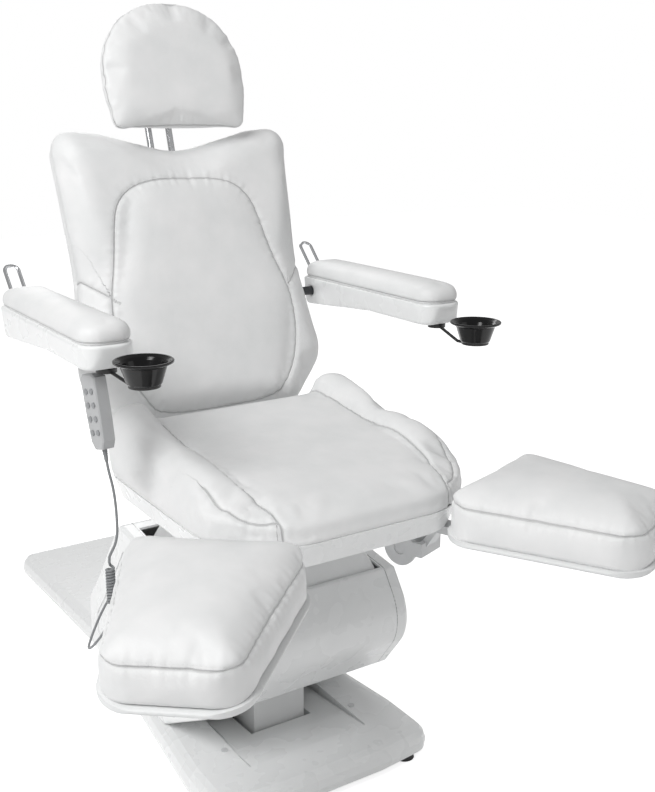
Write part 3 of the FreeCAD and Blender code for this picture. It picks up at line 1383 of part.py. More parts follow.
CORD_ARC_SHARE = 0.45
exit_point = hand_spot.multVec(VECTOR(0, 0, -size.handset_tall))
down = hand_spot.Rotation.multVec(-Z_AXIS)
relief = Part.makeCone(size.cord_radius * 1.9, size.cord_radius * 1.3, size.relief_long, exit_point, down)
relief_end = exit_point + down * size.relief_long
cord_up = [relief_end, relief_end + down * size.relief_long] + [VECTOR(*spot) for spot in (
    (-357, -100, 655), (-354, -100, 610), (-355, -100, 560), (-366, -100, 535), (-372, -100, 510))]
coil_top = cord_up[-1]
coil_long = size.curl_count * size.curl_pitch
coil_way = VECTOR(-372, -99, 440) - coil_top
coil_way.normalize()
cord_up[-2] = coil_top - coil_way * (cord_up[-2] - coil_top).Length
coil_end = coil_top + coil_way * coil_long
node(feature("cord_stretch_1", cord_tube(cord_up, size.cord_radius, "cord_stretch_1")), "cord_stretch_1")
coil = Part.makeCylinder(size.curl_radius + size.curl_wire, coil_long, coil_top, coil_way)
node(feature("cord_coil", coil), "cord_coil")
node(feature("cord_relief", relief), "cord_relief")
socket_face = -cap_out - size.socket_deep
plug_from = VECTOR(socket_face, size.socket_y, size.socket_height)
plug = Part.makeCylinder(size.plug_radius, size.plug_long, plug_from, -X_AXIS)
plug_end = plug_from - X_AXIS * size.plug_long
cord_low = [coil_end, coil_end + coil_way * 22] + [VECTOR(*spot) for spot in (
    (-384, -88, 385), (-400, -66, 350), (-396, -22, 322), (-368, 30, 320),
    (-330, 72, 344))] + [plug_end - X_AXIS * 36, plug_end]
node(feature("cord_stretch_2", cord_tube(cord_low, size.cord_radius, "cord_stretch_2")), "cord_stretch_2")
node(feature("cord_plug", plug), "cord_plug")
socket_low = slab(socket_face, size.socket_y - size.socket_size / 2,
                  size.socket_height - size.socket_size / 2,
                  -cap_out, size.socket_y + size.socket_size / 2, size.socket_height + size.socket_size / 2)
node(feature("cord_socket", socket_low), "cord_socket")

doc.recompute()
for thing in doc.Objects:
    if "Invalid" in thing.State or "Error" in thing.State:
        raise RuntimeError(f"{thing.Name} did not build: {thing.State}")
os.makedirs("parts", exist_ok=True)
for thing in parts:
    if thing.Shape.isNull() or not thing.Shape.isValid() or not thing.Shape.Solids:
        raise RuntimeError(f"{thing.Label} has no sound solid")
for thing in parts:
    thing.Shape.exportStep(os.path.join("parts", thing.Label + ".step"))
    box_now = thing.Shape.BoundBox
    print(f"{thing.Label}: x {box_now.XMin:.0f}..{box_now.XMax:.0f} y {box_now.YMin:.0f}..{box_now.YMax:.0f} "
          f"z {box_now.ZMin:.0f}..{box_now.ZMax:.0f} volume {thing.Shape.Volume / 1000:.0f} cm3")
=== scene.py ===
# %% [markdown]
# # Podiatry chair
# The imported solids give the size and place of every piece. This notebook dresses them: it gives each
# moulded, painted or plated part its finish, sews new cushions over the plain ones, and hangs the
# handset's cord as one smooth line. Lengths are metres, and the front of the chair is -Y.

import json
import math

import bmesh
import bpy
import numpy as np
from mathutils import Matrix, Vector


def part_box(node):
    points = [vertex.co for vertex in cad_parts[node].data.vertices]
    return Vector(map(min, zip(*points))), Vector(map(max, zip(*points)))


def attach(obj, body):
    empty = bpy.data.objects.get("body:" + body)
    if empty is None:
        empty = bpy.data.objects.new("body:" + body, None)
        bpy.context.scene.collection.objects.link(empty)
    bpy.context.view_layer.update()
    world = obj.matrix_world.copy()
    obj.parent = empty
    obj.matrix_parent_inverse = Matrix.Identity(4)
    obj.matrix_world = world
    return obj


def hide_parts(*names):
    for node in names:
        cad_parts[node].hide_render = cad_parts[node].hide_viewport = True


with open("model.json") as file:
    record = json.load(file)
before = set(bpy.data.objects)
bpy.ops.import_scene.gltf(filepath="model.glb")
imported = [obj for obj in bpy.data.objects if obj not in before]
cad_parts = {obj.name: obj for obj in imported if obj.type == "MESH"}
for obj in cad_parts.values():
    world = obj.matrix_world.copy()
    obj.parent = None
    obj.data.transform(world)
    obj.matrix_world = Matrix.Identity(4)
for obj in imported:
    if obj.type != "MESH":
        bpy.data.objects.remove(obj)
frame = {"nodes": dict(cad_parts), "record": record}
nodes = frame["nodes"]
scene = bpy.context.scene
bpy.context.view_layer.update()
MM = 0.001
COLUMN = Vector((0.076, -0.171, 0))


def in_place(x, y, z):
    """A point measured from the lift column's axis, in millimetres, as a place in the scene."""
    return COLUMN + Vector((x, y, z)) * MM


# %% [markdown]
# ## Camera
# The photograph was taken from about two metres in front of the chair's left side, a little above
# its arms. A lens of 48 mm on a 36 mm sensor gives the same spread of parallel edges.

# %% Camera at the photograph's place
photo_camera = bpy.data.objects.new("photo_camera", bpy.data.cameras.new("photo_camera"))
scene.collection.objects.link(photo_camera)
photo_camera.data.lens = 48.18
photo_camera.data.sensor_width = 36
photo_camera.location = in_place(-984, -1760, 1295)
photo_camera.rotation_euler = (math.radians(90 - 15.21), 0, math.radians(-32.78))
scene.camera = photo_camera

# %% [markdown]
# ## How a finish is written
# Colours are chosen as sRGB hex, the way a paint chart or a photo editor gives them, and Blender
# wants linear light, so one function turns them. A second small function adds a shader node with
# its settings and links, so each finish below reads as a list of what happens on its surface.

# %% Colour and node helpers
def linear(hex_colour):
    """sRGB hex to the linear RGBA that a shader socket holds."""
    channels = [int(hex_colour[i:i + 2], 16) / 255 for i in (1, 3, 5)]
    return [c / 12.92 if c <= 0.04045 else ((c + 0.055) / 1.055) ** 2.4 for c in channels] + [1]


def add(tree, kind, inputs=None, **settings):
    """One more node in a tree: its settings, then values or links for its inputs."""
    made = tree.nodes.new(kind)
    for key, value in settings.items():
        setattr(made, key, value)
    for key, value in (inputs or {}).items():
        if isinstance(value, bpy.types.NodeSocket):
            tree.links.new(value, made.inputs[key])
        else:
            made.inputs[key].default_value = value
    return made


def new_finish(name):
    """A material with its shader, and the object-space position that patterns are laid on."""
    material = bpy.data.materials.new(name)
    material.use_nodes = True
    tree = material.node_tree
    shader = tree.nodes["Principled BSDF"]
    where = add(tree, "ShaderNodeTexCoord").outputs["Object"]
    return material, tree, shader, where


def per_mm(size):
    """The scale of a pattern whose cells are this many millimetres wide."""
    return 1 / (size * MM)


# %% [markdown]
# ## White upholstery
# Treatment chairs are covered in polyurethane leathercloth: a knitted backing with a soft, embossed
# film that is wiped down many times a day. It is close to white, its sheen is broad and low, and
# the embossed grain has pebbles of about 1.5 mm. The grain is a cell pattern pressed in with bump,
# drawn a little coarser than life so that it survives at this picture size. A slow noise lets the
# film lie a little unevenly over the foam, and the seams are read from each cushion's own
# attribute, so they stay on the cloth wherever it goes.

# %% Leathercloth
def leathercloth(name, tone, shade):
    """Embossed film over knitted cloth, with its seams, stitches and puckers, and a painted shade in each
    seam's crease.
    """
    material, tree, shader, where = new_finish(name)
    pebbles = add(tree, "ShaderNodeTexVoronoi", {"Vector": where, "Scale": per_mm(1.9), "Randomness": 0.9},
                  feature="DISTANCE_TO_EDGE")
    grain = add(tree, "ShaderNodeMapRange", {"Value": pebbles.outputs["Distance"], "From Max": 0.18},
                interpolation_type="SMOOTHSTEP")
    slack = add(tree, "ShaderNodeTexNoise", {"Vector": where, "Scale": per_mm(85), "Detail": 3,
                                             "Roughness": 0.55})
    rub = add(tree, "ShaderNodeTexNoise", {"Vector": where, "Scale": per_mm(24), "Detail": 5,
                                           "Roughness": 0.6})
    tint = add(tree, "ShaderNodeMapRange", {"Value": slack.outputs["Fac"], "From Min": 0.3, "From Max": 0.72})
    colour = add(tree, "ShaderNodeMix", {"Factor": tint.outputs["Result"], "A": linear(shade),
                                         "B": linear(tone)},
                 data_type="RGBA")
    seam = add(tree, "ShaderNodeAttribute", attribute_name="seam")
    away = add(tree, "ShaderNodeMath", {0: seam.outputs["Fac"]}, operation="ABSOLUTE")
    crease = add(tree, "ShaderNodeMapRange", {"Value": away.outputs["Value"], "From Min": 0.0004,
                                              "From Max": 0.0026},
                 interpolation_type="SMOOTHSTEP")
    # Towards each seam's middle the colour darkens to 0.62 of itself: a painted shade in the crease.
    painted_seam_shade = add(tree, "ShaderNodeMapRange", {"Value": away.outputs["Value"], "From Min": 0.0,
                                            "From Max": 0.0016, "To Min": 0.62, "To Max": 1})
    seam_shaded_colour = add(tree, "ShaderNodeVectorMath", {0: colour.outputs["Result"], "Scale": painted_seam_shade.outputs["Result"]},
               operation="SCALE")
    stitch_at = add(tree, "ShaderNodeAttribute", attribute_name="stitch")
    off_line = add(tree, "ShaderNodeMath", {0: away.outputs["Value"], 1: 0.0046}, operation="SUBTRACT")
    on_line = add(tree, "ShaderNodeMath", {0: off_line.outputs["Value"]}, operation="ABSOLUTE")
    row = add(tree, "ShaderNodeMapRange", {"Value": on_line.outputs["Value"], "From Min": 0.0009,
                                           "From Max": 0.0003})
    dash = add(tree, "ShaderNodeMath", {0: stitch_at.outputs["Fac"]}, operation="FRACT")
    thread = add(tree, "ShaderNodeMapRange", {"Value": dash.outputs["Value"], "From Min": 0.3,
                                              "From Max": 0.2})
    stitches = add(tree, "ShaderNodeMath", {0: row.outputs["Result"], 1: thread.outputs["Result"]},
                   operation="MULTIPLY")
    swell = add(tree, "ShaderNodeBump", {"Height": slack.outputs["Fac"], "Strength": 0.35, "Distance": 0.006})
    pressed = add(tree, "ShaderNodeBump", {"Height": grain.outputs["Result"], "Strength": 0.22,
                                           "Distance": 0.0004, "Normal": swell.outputs["Normal"]})
    holes = add(tree, "ShaderNodeBump", {"Height": stitches.outputs["Value"], "Strength": 0.5,
                                         "Distance": 0.0006, "Normal": pressed.outputs["Normal"]},
                 invert=True)
    sewn = add(tree, "ShaderNodeBump", {"Height": crease.outputs["Result"], "Strength": 0.9,
                                        "Distance": 0.0018, "Normal": holes.outputs["Normal"]})
    sheen = add(tree, "ShaderNodeMapRange", {"Value": rub.outputs["Fac"], "From Min": 0.3, "From Max": 0.7,
                                             "To Min": 0.44, "To Max": 0.54})
    tree.links.new(seam_shaded_colour.outputs["Vector"], shader.inputs["Base Color"])
    tree.links.new(sheen.outputs["Result"], shader.inputs["Roughness"])
    tree.links.new(sewn.outputs["Normal"], shader.inputs["Normal"])
    shader.inputs["IOR"].default_value = 1.48
    return material


upholstery = leathercloth("white_leathercloth", "#EFEFEF", "#E6E7E7")

# %% [markdown]
# ## Moulded shells
# The base, the lift housing and the shells under the cushions are thick ABS, thermoformed and then
# finished in gloss white. Such a skin has a very slight orange peel, a few fine wiping marks and
# an even, clean reflection. The lift cover, the column, the base's middle panel and the leg boards are
# the same plastic with an eggshell finish.

# %% Gloss and eggshell plastics
def moulded(name, tone, smoothest, roughest, peel):
    """Moulded plastic: a roughness that varies between two values, and how deep its orange peel is."""
    material, tree, shader, where = new_finish(name)
    ripple = add(tree, "ShaderNodeTexNoise", {"Vector": where, "Scale": per_mm(7), "Detail": 2})
    wiping = add(tree, "ShaderNodeTexNoise", {"Vector": where, "Scale": per_mm(60), "Detail": 2,
                                              "Roughness": 0.5})
    gloss = add(tree, "ShaderNodeMapRange", {"Value": wiping.outputs["Fac"], "From Min": 0.32,
                                             "From Max": 0.68, "To Min": smoothest, "To Max": roughest})
    dust = add(tree, "ShaderNodeMapRange", {"Value": wiping.outputs["Fac"], "From Min": 0.25,
                                            "From Max": 0.75, "To Min": 0.992, "To Max": 1.0})
    colour = add(tree, "ShaderNodeVectorMath", {0: linear(tone)[:3], "Scale": dust.outputs["Result"]},
                 operation="SCALE")
    peeled = add(tree, "ShaderNodeBump", {"Height": ripple.outputs["Fac"], "Strength": peel,
                                          "Distance": 0.0006})
    tree.links.new(colour.outputs["Vector"], shader.inputs["Base Color"])
    tree.links.new(gloss.outputs["Result"], shader.inputs["Roughness"])
    tree.links.new(peeled.outputs["Normal"], shader.inputs["Normal"])
    shader.inputs["IOR"].default_value = 1.53
    return material


gloss_abs = moulded("gloss_white_abs", "#EFF0F0", 0.26, 0.29, 0.02)
eggshell_abs = moulded("eggshell_white_abs", "#E6E7E7", 0.44, 0.48, 0.04)
grey_abs = moulded("light_grey_abs", "#B4B5B6", 0.36, 0.46, 0.2)
button_abs = moulded("grey_button_caps", "#8C8E90", 0.34, 0.42, 0.2)
bowl_melamine = moulded("black_melamine", "#050506", 0.10, 0.20, 0.3)
bowl_melamine.node_tree.nodes["Principled BSDF"].inputs["Specular IOR Level"].default_value = 0.32

# %% [markdown]
# ## Powder coat
# The leg-rest arms, brackets and the hidden steel are powder coated: a baked polyester film, about
# 0.08 mm thick, with a fine pebble that breaks up reflections. The photograph shows it light grey
# outside, and the steel that the covers hide is dark.

# %% Powder coats
def powder_coat(name, tone, pebble_mm, matt):
    """Baked powder with a fine pebble; matt is its middle roughness."""
    material, tree, shader, where = new_finish(name)
    pebble = add(tree, "ShaderNodeTexNoise", {"Vector": where, "Scale": per_mm(pebble_mm), "Detail": 4})
    handling = add(tree, "ShaderNodeTexNoise", {"Vector": where, "Scale": per_mm(33), "Detail": 5})
    roughness = add(tree, "ShaderNodeMapRange", {"Value": handling.outputs["Fac"], "From Min": 0.3,
                                                 "From Max": 0.7, "To Min": matt - 0.05,
                                                 "To Max": matt + 0.06})
    fade = add(tree, "ShaderNodeMapRange", {"Value": pebble.outputs["Fac"], "From Min": 0.3, "From Max": 0.7,
                                            "To Min": 0.975, "To Max": 1.0})
    colour = add(tree, "ShaderNodeVectorMath", {0: linear(tone)[:3], "Scale": fade.outputs["Result"]},
                 operation="SCALE")
    baked = add(tree, "ShaderNodeBump", {"Height": pebble.outputs["Fac"], "Strength": 0.2,
                                         "Distance": 0.0003})
    tree.links.new(colour.outputs["Vector"], shader.inputs["Base Color"])
    tree.links.new(roughness.outputs["Result"], shader.inputs["Roughness"])
    tree.links.new(baked.outputs["Normal"], shader.inputs["Normal"])
    return material


light_coat = powder_coat("light_grey_powder_coat", "#D3D4D5", 1.3, 0.42)
dark_coat = powder_coat("dark_powder_coat", "#3B3D40", 1.3, 0.5)
black_coat = powder_coat("black_satin_coat", "#101011", 1.1, 0.34)
# This black serves the rubber parts, and at the housing's cap joints it is a painted shadow.
shadow_rubber = powder_coat("black_rubber_and_joint_shadow", "#0F0F10", 0.9, 0.62)
cord_jacket = powder_coat("grey_cord_jacket", "#86888A", 0.8, 0.5)

# %% [markdown]
# ## Bright chrome
# The headrest rods and the two loop levers are drawn steel with bright chrome. Chrome shows the
# room, so nearly all of its look is the reflection: very smooth, with a polish that varies a little.

# %% Chrome
chrome, tree, shader, where = new_finish("bright_chrome")
buffing = add(tree, "ShaderNodeTexNoise", {"Vector": where, "Scale": per_mm(2.5), "Detail": 5})
polish = add(tree, "ShaderNodeMapRange", {"Value": buffing.outputs["Fac"], "To Min": 0.05, "To Max": 0.14})
tree.links.new(polish.outputs["Result"], shader.inputs["Roughness"])
shader.inputs["Base Color"].default_value = linear("#DADBDD")
shader.inputs["Metallic"].default_value = 1

# %% Each solid takes its finish
finishes = {
    "shell_white": gloss_abs, "upholstery": upholstery, "steel_dark": dark_coat, "steel_light": light_coat,
    "chrome": chrome, "rubber_black": shadow_rubber, "black_gloss": bowl_melamine, "black_metal": black_coat,
    "grey_plastic": grey_abs, "button_grey": button_abs, "cord_grey": cord_jacket,
}
slots = {piece["node"]: piece["material_slot"] for piece in frame["record"]["subparts"]}
special = dict.fromkeys(("lift_cover", "base_insert", "lift_sleeve", "lift_mast", "leg_board_left",
                         "leg_board_right"), eggshell_abs)
special.update(cover_screws=light_coat, headrest_clamp=dark_coat)
for name, solid in nodes.items():
    solid.data.materials.clear()
    solid.data.materials.append(special.get(name, finishes[slots[name]]))
print("dressed", len(nodes), "solids")

# %% [markdown]
# ## How a cushion is sewn here
# A real pad is foam in a sewn cover that is a little too small for it, so the cover is pulled tight,
# the faces crown, and the sides draw in between the corners. The same happens here: the plain solid
# is copied, remeshed to even squares and shrunk slightly, then a cloth simulation with air pressure
# and no gravity swells it. The part that rests on a board or shell is pinned. Seams come last, since
# remeshing would rub them out: each is a line that presses a valley, with small puckers, into the cover,
# and its distance is kept as an attribute that the leathercloth reads for the crease, a painted shade
# along it and the stitches.

# %% Copy, remesh and inflate
def tight_copy(name, solid, squares, shrink, clear):
    """The plain solid's own copy, welded, in even squares and drawn in, except where it rests."""
    blank = bpy.data.objects.new(name, nodes[solid].data.copy())
    scene.collection.objects.link(blank)
    weld = bmesh.new()
    weld.from_mesh(blank.data)
    bmesh.ops.remove_doubles(weld, verts=weld.verts, dist=0.00002)
    bmesh.ops.recalc_face_normals(weld, faces=weld.faces)
    weld.to_mesh(blank.data)
    weld.free()
    even = blank.modifiers.new("even", "REMESH")
    even.mode = "VOXEL"
    even.voxel_size = squares * 1
    relax = blank.modifiers.new("relax", "CORRECTIVE_SMOOTH")
    relax.iterations = 4
    relax.use_only_smooth = True
    bake(blank)
    move(blank, lambda place, normal: -shrink * normal * np.clip(clear(place) / (22 * MM), 0, 1)[:, None])
    return blank


def bake(piece):
    """Fixes a piece's modifiers into its mesh."""
    seen = piece.evaluated_get(bpy.context.evaluated_depsgraph_get())
    fixed = bpy.data.meshes.new_from_object(seen)
    piece.modifiers.clear()
    piece.data = fixed


def places(piece):
    """Every point of a piece, one row each."""
    found = np.empty(len(piece.data.vertices) * 3)
    piece.data.vertices.foreach_get("co", found)
    return found.reshape(-1, 3)


def put(piece, where):
    """Gives a piece's points new places."""
    piece.data.vertices.foreach_set("co", where.ravel())
    piece.data.update()


def normals(piece):
    """The outward way at every point of a piece."""
    found = np.empty(len(piece.data.vertices) * 3)
    piece.data.vertices.foreach_get("normal", found)
    return found.reshape(-1, 3)


def move(piece, rule):
    """Moves every point by what the rule gives for its place and normal."""
    here = places(piece)
    put(piece, here + rule(here, normals(piece)))


def inflate(piece, clear, pressure, most):
    """Swells a cover with air pressure for 20 steps; no point moves further than most."""
    before = places(piece)
    pinned = piece.vertex_groups.new(name="resting")
    pinned.add([int(i) for i in np.nonzero(clear(before) < 8 * MM)[0]], 1, "REPLACE")
    air = piece.modifiers.new("air", "CLOTH")
    air.settings.use_pressure = True
    air.settings.uniform_pressure_force = pressure
    air.settings.effector_weights.gravity = 0
    air.settings.vertex_group_mass = "resting"
    air.settings.bending_stiffness = 1.5
    air.point_cache.frame_start, air.point_cache.frame_end = 1, 20
    for step in range(1, 21):
        scene.frame_set(step)
    seen = piece.evaluated_get(bpy.context.evaluated_depsgraph_get())
    after = np.empty(len(seen.data.vertices) * 3)
    seen.data.vertices.foreach_get("co", after)
    push = after.reshape(-1, 3) - before
    far = np.linalg.norm(push, axis=1, keepdims=True)
    push *= np.minimum(1, most / np.maximum(far, 1e-9))
    piece.modifiers.clear()
    piece.vertex_groups.clear()
    put(piece, before + push)
    scene.frame_set(1)
    ironed = piece.modifiers.new("ironed", "SMOOTH")
    ironed.factor, ironed.iterations = 0.5, 3
    bake(piece)
    print(piece.name, "swelled by up to", round(float(far.max()) / MM, 1), "mm, kept to", most / MM)


def settle(piece, clear, deep):
    """Lets the resting edge bed down on what carries the cushion, so that no dark gap is left."""
    frame_axes = np.vstack([np.eye(3), np.zeros(3)])
    heights = clear(frame_axes)
    up = heights[:3] - heights[3]
    move(piece, lambda place, normal: -up * (deep * np.clip(1.4 - clear(place) / (12 * MM), 0, 1))[:, None])


def finer(piece):
    """One subdivision more, and smooth shading."""
    fine = piece.modifiers.new("fine", "SUBSURF")
    fine.levels = fine.render_levels = 1
    bake(piece)
    piece.data.polygons.foreach_set("use_smooth", [True] * len(piece.data.polygons))


# %% [markdown]
# ## Seams
# A seam is kept as a line of given points on the cushion's own flat plan. For every point of
# the cover the distance to the nearest line is worked out, and a narrow valley is pressed along it,
# with small puckers where the thread gathers the cloth.

# %% Distance to sewn lines
FAR_OFF = 9.0  # metres: further than any point of the chair


def along_line(flat, line, closed=False):
    """Distance of flat points from a line, with a sign for its side, and how far along it they are."""
    line = np.array(line, float) * MM
    if closed:
        line = np.vstack([line, line[:1]])
    best = np.full(len(flat), FAR_OFF)
    run = np.zeros(len(flat))
    passed = 0.0
    for start, end in zip(line[:-1], line[1:]):
        step = end - start
        length = np.linalg.norm(step)
        share = np.clip((flat - start) @ step / length ** 2, 0, 1)
        off = flat - (start + share[:, None] * step)
        away = np.linalg.norm(off, axis=1)
        side = np.where(step[0] * off[:, 1] - step[1] * off[:, 0] < 0, -1.0, 1.0)
        nearer = away < np.abs(best)
        best[nearer] = (away * side)[nearer]
        run[nearer] = (passed + share * length)[nearer]
        passed += length
    return best, run


def curved(line, closed=False, rounds=3):
    """Cuts a line's corners, the way a needle follows a chalk line."""
    line = [Vector(point) for point in line]
    for _ in range(rounds):
        pairs = list(zip(line, line[1:] + line[:1])) if closed else list(zip(line, line[1:]))
        cut = [point for a, b in pairs for point in (a.lerp(b, 0.25), a.lerp(b, 0.75))]
        line = cut if closed else [line[0]] + cut[1:-1] + [line[-1]]
    return line


def sew(piece, lines, deep, wide, pucker=0.0):
    """Presses valleys along (distance, run) pairs and keeps them for the cloth to read."""
    seam = np.full(len(piece.data.vertices), FAR_OFF)
    stitch = np.zeros(len(piece.data.vertices))
    for away, run in lines:
        nearer = np.abs(away) < np.abs(seam)
        seam[nearer], stitch[nearer] = away[nearer], run[nearer] / (6 * MM)
    out = normals(piece)
    gather = pucker * np.exp(-(seam / (16 * MM)) ** 2) * np.sin(stitch * 1.9) * np.sin(stitch * 0.47 + 1)
    put(piece, places(piece) + out * (gather - deep * np.exp(-(seam / wide) ** 2))[:, None])
    for name, values in (("seam", seam), ("stitch", stitch)):
        kept = piece.data.attributes.get(name) or piece.data.attributes.new(name, "FLOAT", "POINT")
        kept.data.foreach_set("value", values)


def upholster(piece, body, solid):
    """Covers a pad, hangs it on its body and shows it instead of the plain solid."""
    piece.data.materials.clear()
    piece.data.materials.append(upholstery)
    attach(piece, body)
    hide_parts(solid)
    print(piece.name, len(piece.data.polygons), "faces")


# %% [markdown]
# ## Seat cushion
# The seat is one deep pad with a flat sewn panel down its middle and a bolster on each side. The
# bolsters stand tallest beside the backrest, step down, and roll on to the front corners. The panel
# seams run from back to front and over the front edge, and a short dart closes each front corner.

# %% Seat cushion
seat_line = [(181, 190), (184, 150), (194, 10), (190, -95), (196, -180), (188, -270), (177, -345),
             (166, -430)]
dart_line = [(181, -356), (206, -342), (231, -310), (247, -268), (252, -238)]
seat_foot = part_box("seat_cushion")[0].z


def over_seat(place):
    """Height over the seat shell's rim."""
    return place[:, 2] - seat_foot


seat_pad = tight_copy("seat_pad", "seat_cushion", 7 * MM, 3 * MM, over_seat)


def seat_roll(place, normal):
    """The lower roll at the front of each bolster, and the step behind it."""
    x, y = (place[:, 0] - COLUMN.x) / MM, (place[:, 1] - COLUMN.y) / MM
    high = np.clip(over_seat(place) / 0.05, 0, 1)
    out = np.exp(-((np.abs(x) - 236) / 42) ** 2)
    roll = 12 * np.exp(-((y + 190) / 85) ** 2) - 7 * np.exp(-((y + 62) / 34) ** 2)
    return normal * (out * roll * high * MM)[:, None]


move(seat_pad, seat_roll)
inflate(seat_pad, over_seat, 4, 9 * MM)
settle(seat_pad, over_seat, 5 * MM)
finer(seat_pad)
flat = places(seat_pad)[:, :2] - np.array(COLUMN)[:2]
flat[:, 0] = np.abs(flat[:, 0])
sew(seat_pad, [along_line(flat, curved(seat_line)), along_line(flat, curved(dart_line))], 3.2 * MM, 5 * MM,
    0.9 * MM)
upholster(seat_pad, "seat", "seat_cushion")

# %% [markdown]
# ## Backrest cushion
# The backrest leans 16.4 degrees. Its bell-shaped middle panel is sewn in, and from the panel's
# widest corners a dart runs out to each side, where the hip bolster starts. The plan of the seam is
# drawn on the cushion's own slope: across, and up from the lower edge.

# %% Backrest cushion
def on_slope(foot_y, foot_z, degrees):
    """Turns scene places into a leaning pad's own: across, deep and up."""
    turned = Matrix.Translation(in_place(0, foot_y, foot_z)) @ Matrix.Rotation(math.radians(-degrees), 4, "X")
    return np.array(turned.inverted())


def own_view(place, slope):
    """Places as a leaning or turned pad sees them."""
    return place @ slope[:3, :3].T + slope[:3, 3]


panel_line = [(-8, 520), (-66, 520), (-122, 510), (-160, 482), (-176, 448), (-192, 350), (-209, 282),
              (-213, 215), (-208, 160), (-194, 112), (-168, 70), (-138, 34), (0, 30), (136, 34), (164, 70),
              (188, 112), (201, 160), (207, 215), (200, 276), (170, 350), (148, 448), (132, 480), (98, 508),
              (48, 518)]
back_slope = on_slope(171, 652, 16.4)
BACK_DEEP = 84 * MM


def off_back_shell(place):
    """Distance in front of the back shell."""
    return BACK_DEEP - own_view(place, back_slope)[:, 1]


back_pad = tight_copy("back_pad", "back_cushion", 7 * MM, 3 * MM, off_back_shell)
inflate(back_pad, off_back_shell, 4, 9 * MM)
settle(back_pad, off_back_shell, 2 * MM)
finer(back_pad)
view = own_view(places(back_pad), back_slope)
front = view[:, 1] < 0.06
flat = view[:, [0, 2]]
mirrored = np.column_stack([np.abs(flat[:, 0]), flat[:, 1]])
panel = along_line(flat, curved(panel_line, closed=True, rounds=2), closed=True)
dart = along_line(mirrored, [(205, 280), (236, 307), (262, 331)])
lines = [(np.where(front, away, FAR_OFF), run) for away, run in (panel, dart)]
sew(back_pad, lines, 3.0 * MM, 5 * MM, 0.9 * MM)
upholster(back_pad, "back", "back_cushion")

# %% [markdown]
# ## Headrest cushion
# The headrest is a D on its side: flat at the bottom, round over the top. Its front panel is joined
# to the side band by a seam that follows the rim at one depth.

# %% Headrest cushion
head_slope = on_slope(316, 1248, 12)
HEAD_DEEP = 46 * MM


def off_head_plate(place):
    """Distance in front of the headrest's plate."""
    return HEAD_DEEP - own_view(place, head_slope)[:, 1]


head_pad = tight_copy("head_pad", "headrest_cushion", 6 * MM, 2 * MM, off_head_plate)
inflate(head_pad, off_head_plate, 3, 6 * MM)
settle(head_pad, off_head_plate, 2 * MM)
finer(head_pad)
view = own_view(places(head_pad), head_slope)
outward = np.arctan2(view[:, 2] - 0.12, view[:, 0])
sew(head_pad, [(view[:, 1] - 0.016, outward * 0.15)], 1.6 * MM, 4 * MM, 0.4 * MM)
upholster(head_pad, "headrest", "headrest_cushion")

# %% [markdown]
# ## Armrest pads
# Each armrest carries a long pad, boxed at the sides and rounded at both ends. Its cover is stapled
# under the edge, so the only line that shows is the crease just above the arm's body.

# %% Armrest pads
ARM_PAD_FOOT = 915.3 * MM


def over_arm(place):
    """Height over the armrest's body."""
    return place[:, 2] - ARM_PAD_FOOT


for side in ("left", "right"):
    arm_pad = tight_copy("arm_cushion_" + side, "arm_pad_" + side, 5 * MM, 2 * MM, over_arm)
    inflate(arm_pad, over_arm, 4, 5 * MM)
    settle(arm_pad, over_arm, 3 * MM)
    finer(arm_pad)
    edge = over_arm(places(arm_pad)) - 4 * MM
    sew(arm_pad, [(edge, places(arm_pad)[:, 1])], 1.2 * MM, 3 * MM)
    upholster(arm_pad, "arm_" + side, "arm_pad_" + side)

# %% [markdown]
# ## Leg rest pads
# The leg rests have a crowned top and an upright wall, joined by a seam with a visible row of
# stitches. Each pad is turned out and tipped down, so its places are first brought back to its own
# frame: along the leg, across it, and up from the board.

# %% Leg rest pads
board_line = [(220, -165), (572, -103), (572, 103), (220, 165)]
CORNER_RADIUS, BOARD_TOP, WALL_TALL = 76 * MM, 593.6 * MM, 57 * MM


def round_off(flat, outline, reach):
    """Pulls points outside a rounded outline in on to it; its straight sides stay where they are."""
    outline = [Vector(point) * MM for point in outline]
    inner = []
    for before, here, after in zip(outline[-1:] + outline[:-1], outline, outline[1:] + outline[:1]):
        back, ahead = (before - here).normalized(), (after - here).normalized()
        setback = CORNER_RADIUS / math.sin(back.angle(ahead) / 2)
        inner.append(np.array(here + (back + ahead).normalized() * setback))
    nearest = np.zeros_like(flat)
    best = np.full(len(flat), FAR_OFF)
    inside = np.ones(len(flat), bool)
    for start, end in zip(inner, inner[1:] + inner[:1]):
        step = end - start
        share = np.clip((flat - start) @ step / (step @ step), 0, 1)
        spot = start + share[:, None] * step
        away = np.linalg.norm(flat - spot, axis=1)
        closer = away < best
        nearest[closer], best[closer] = spot[closer], away[closer]
        inside &= step[0] * (flat[:, 1] - start[1]) - step[1] * (flat[:, 0] - start[0]) > 0
    pull = np.where(inside, 1, np.minimum(1, reach / np.maximum(best, 1e-9)))
    return nearest + (flat - nearest) * pull[:, None]


def board_corners(slope, inset):
    """A rule that gives a leg pad or its board the corners of the real one."""
    def rule(place, normal):
        own = own_view(place, slope)
        own[:, :2] = round_off(own[:, :2], board_line, CORNER_RADIUS - inset)
        return own_view(own, np.linalg.inv(slope)) - place
    return rule


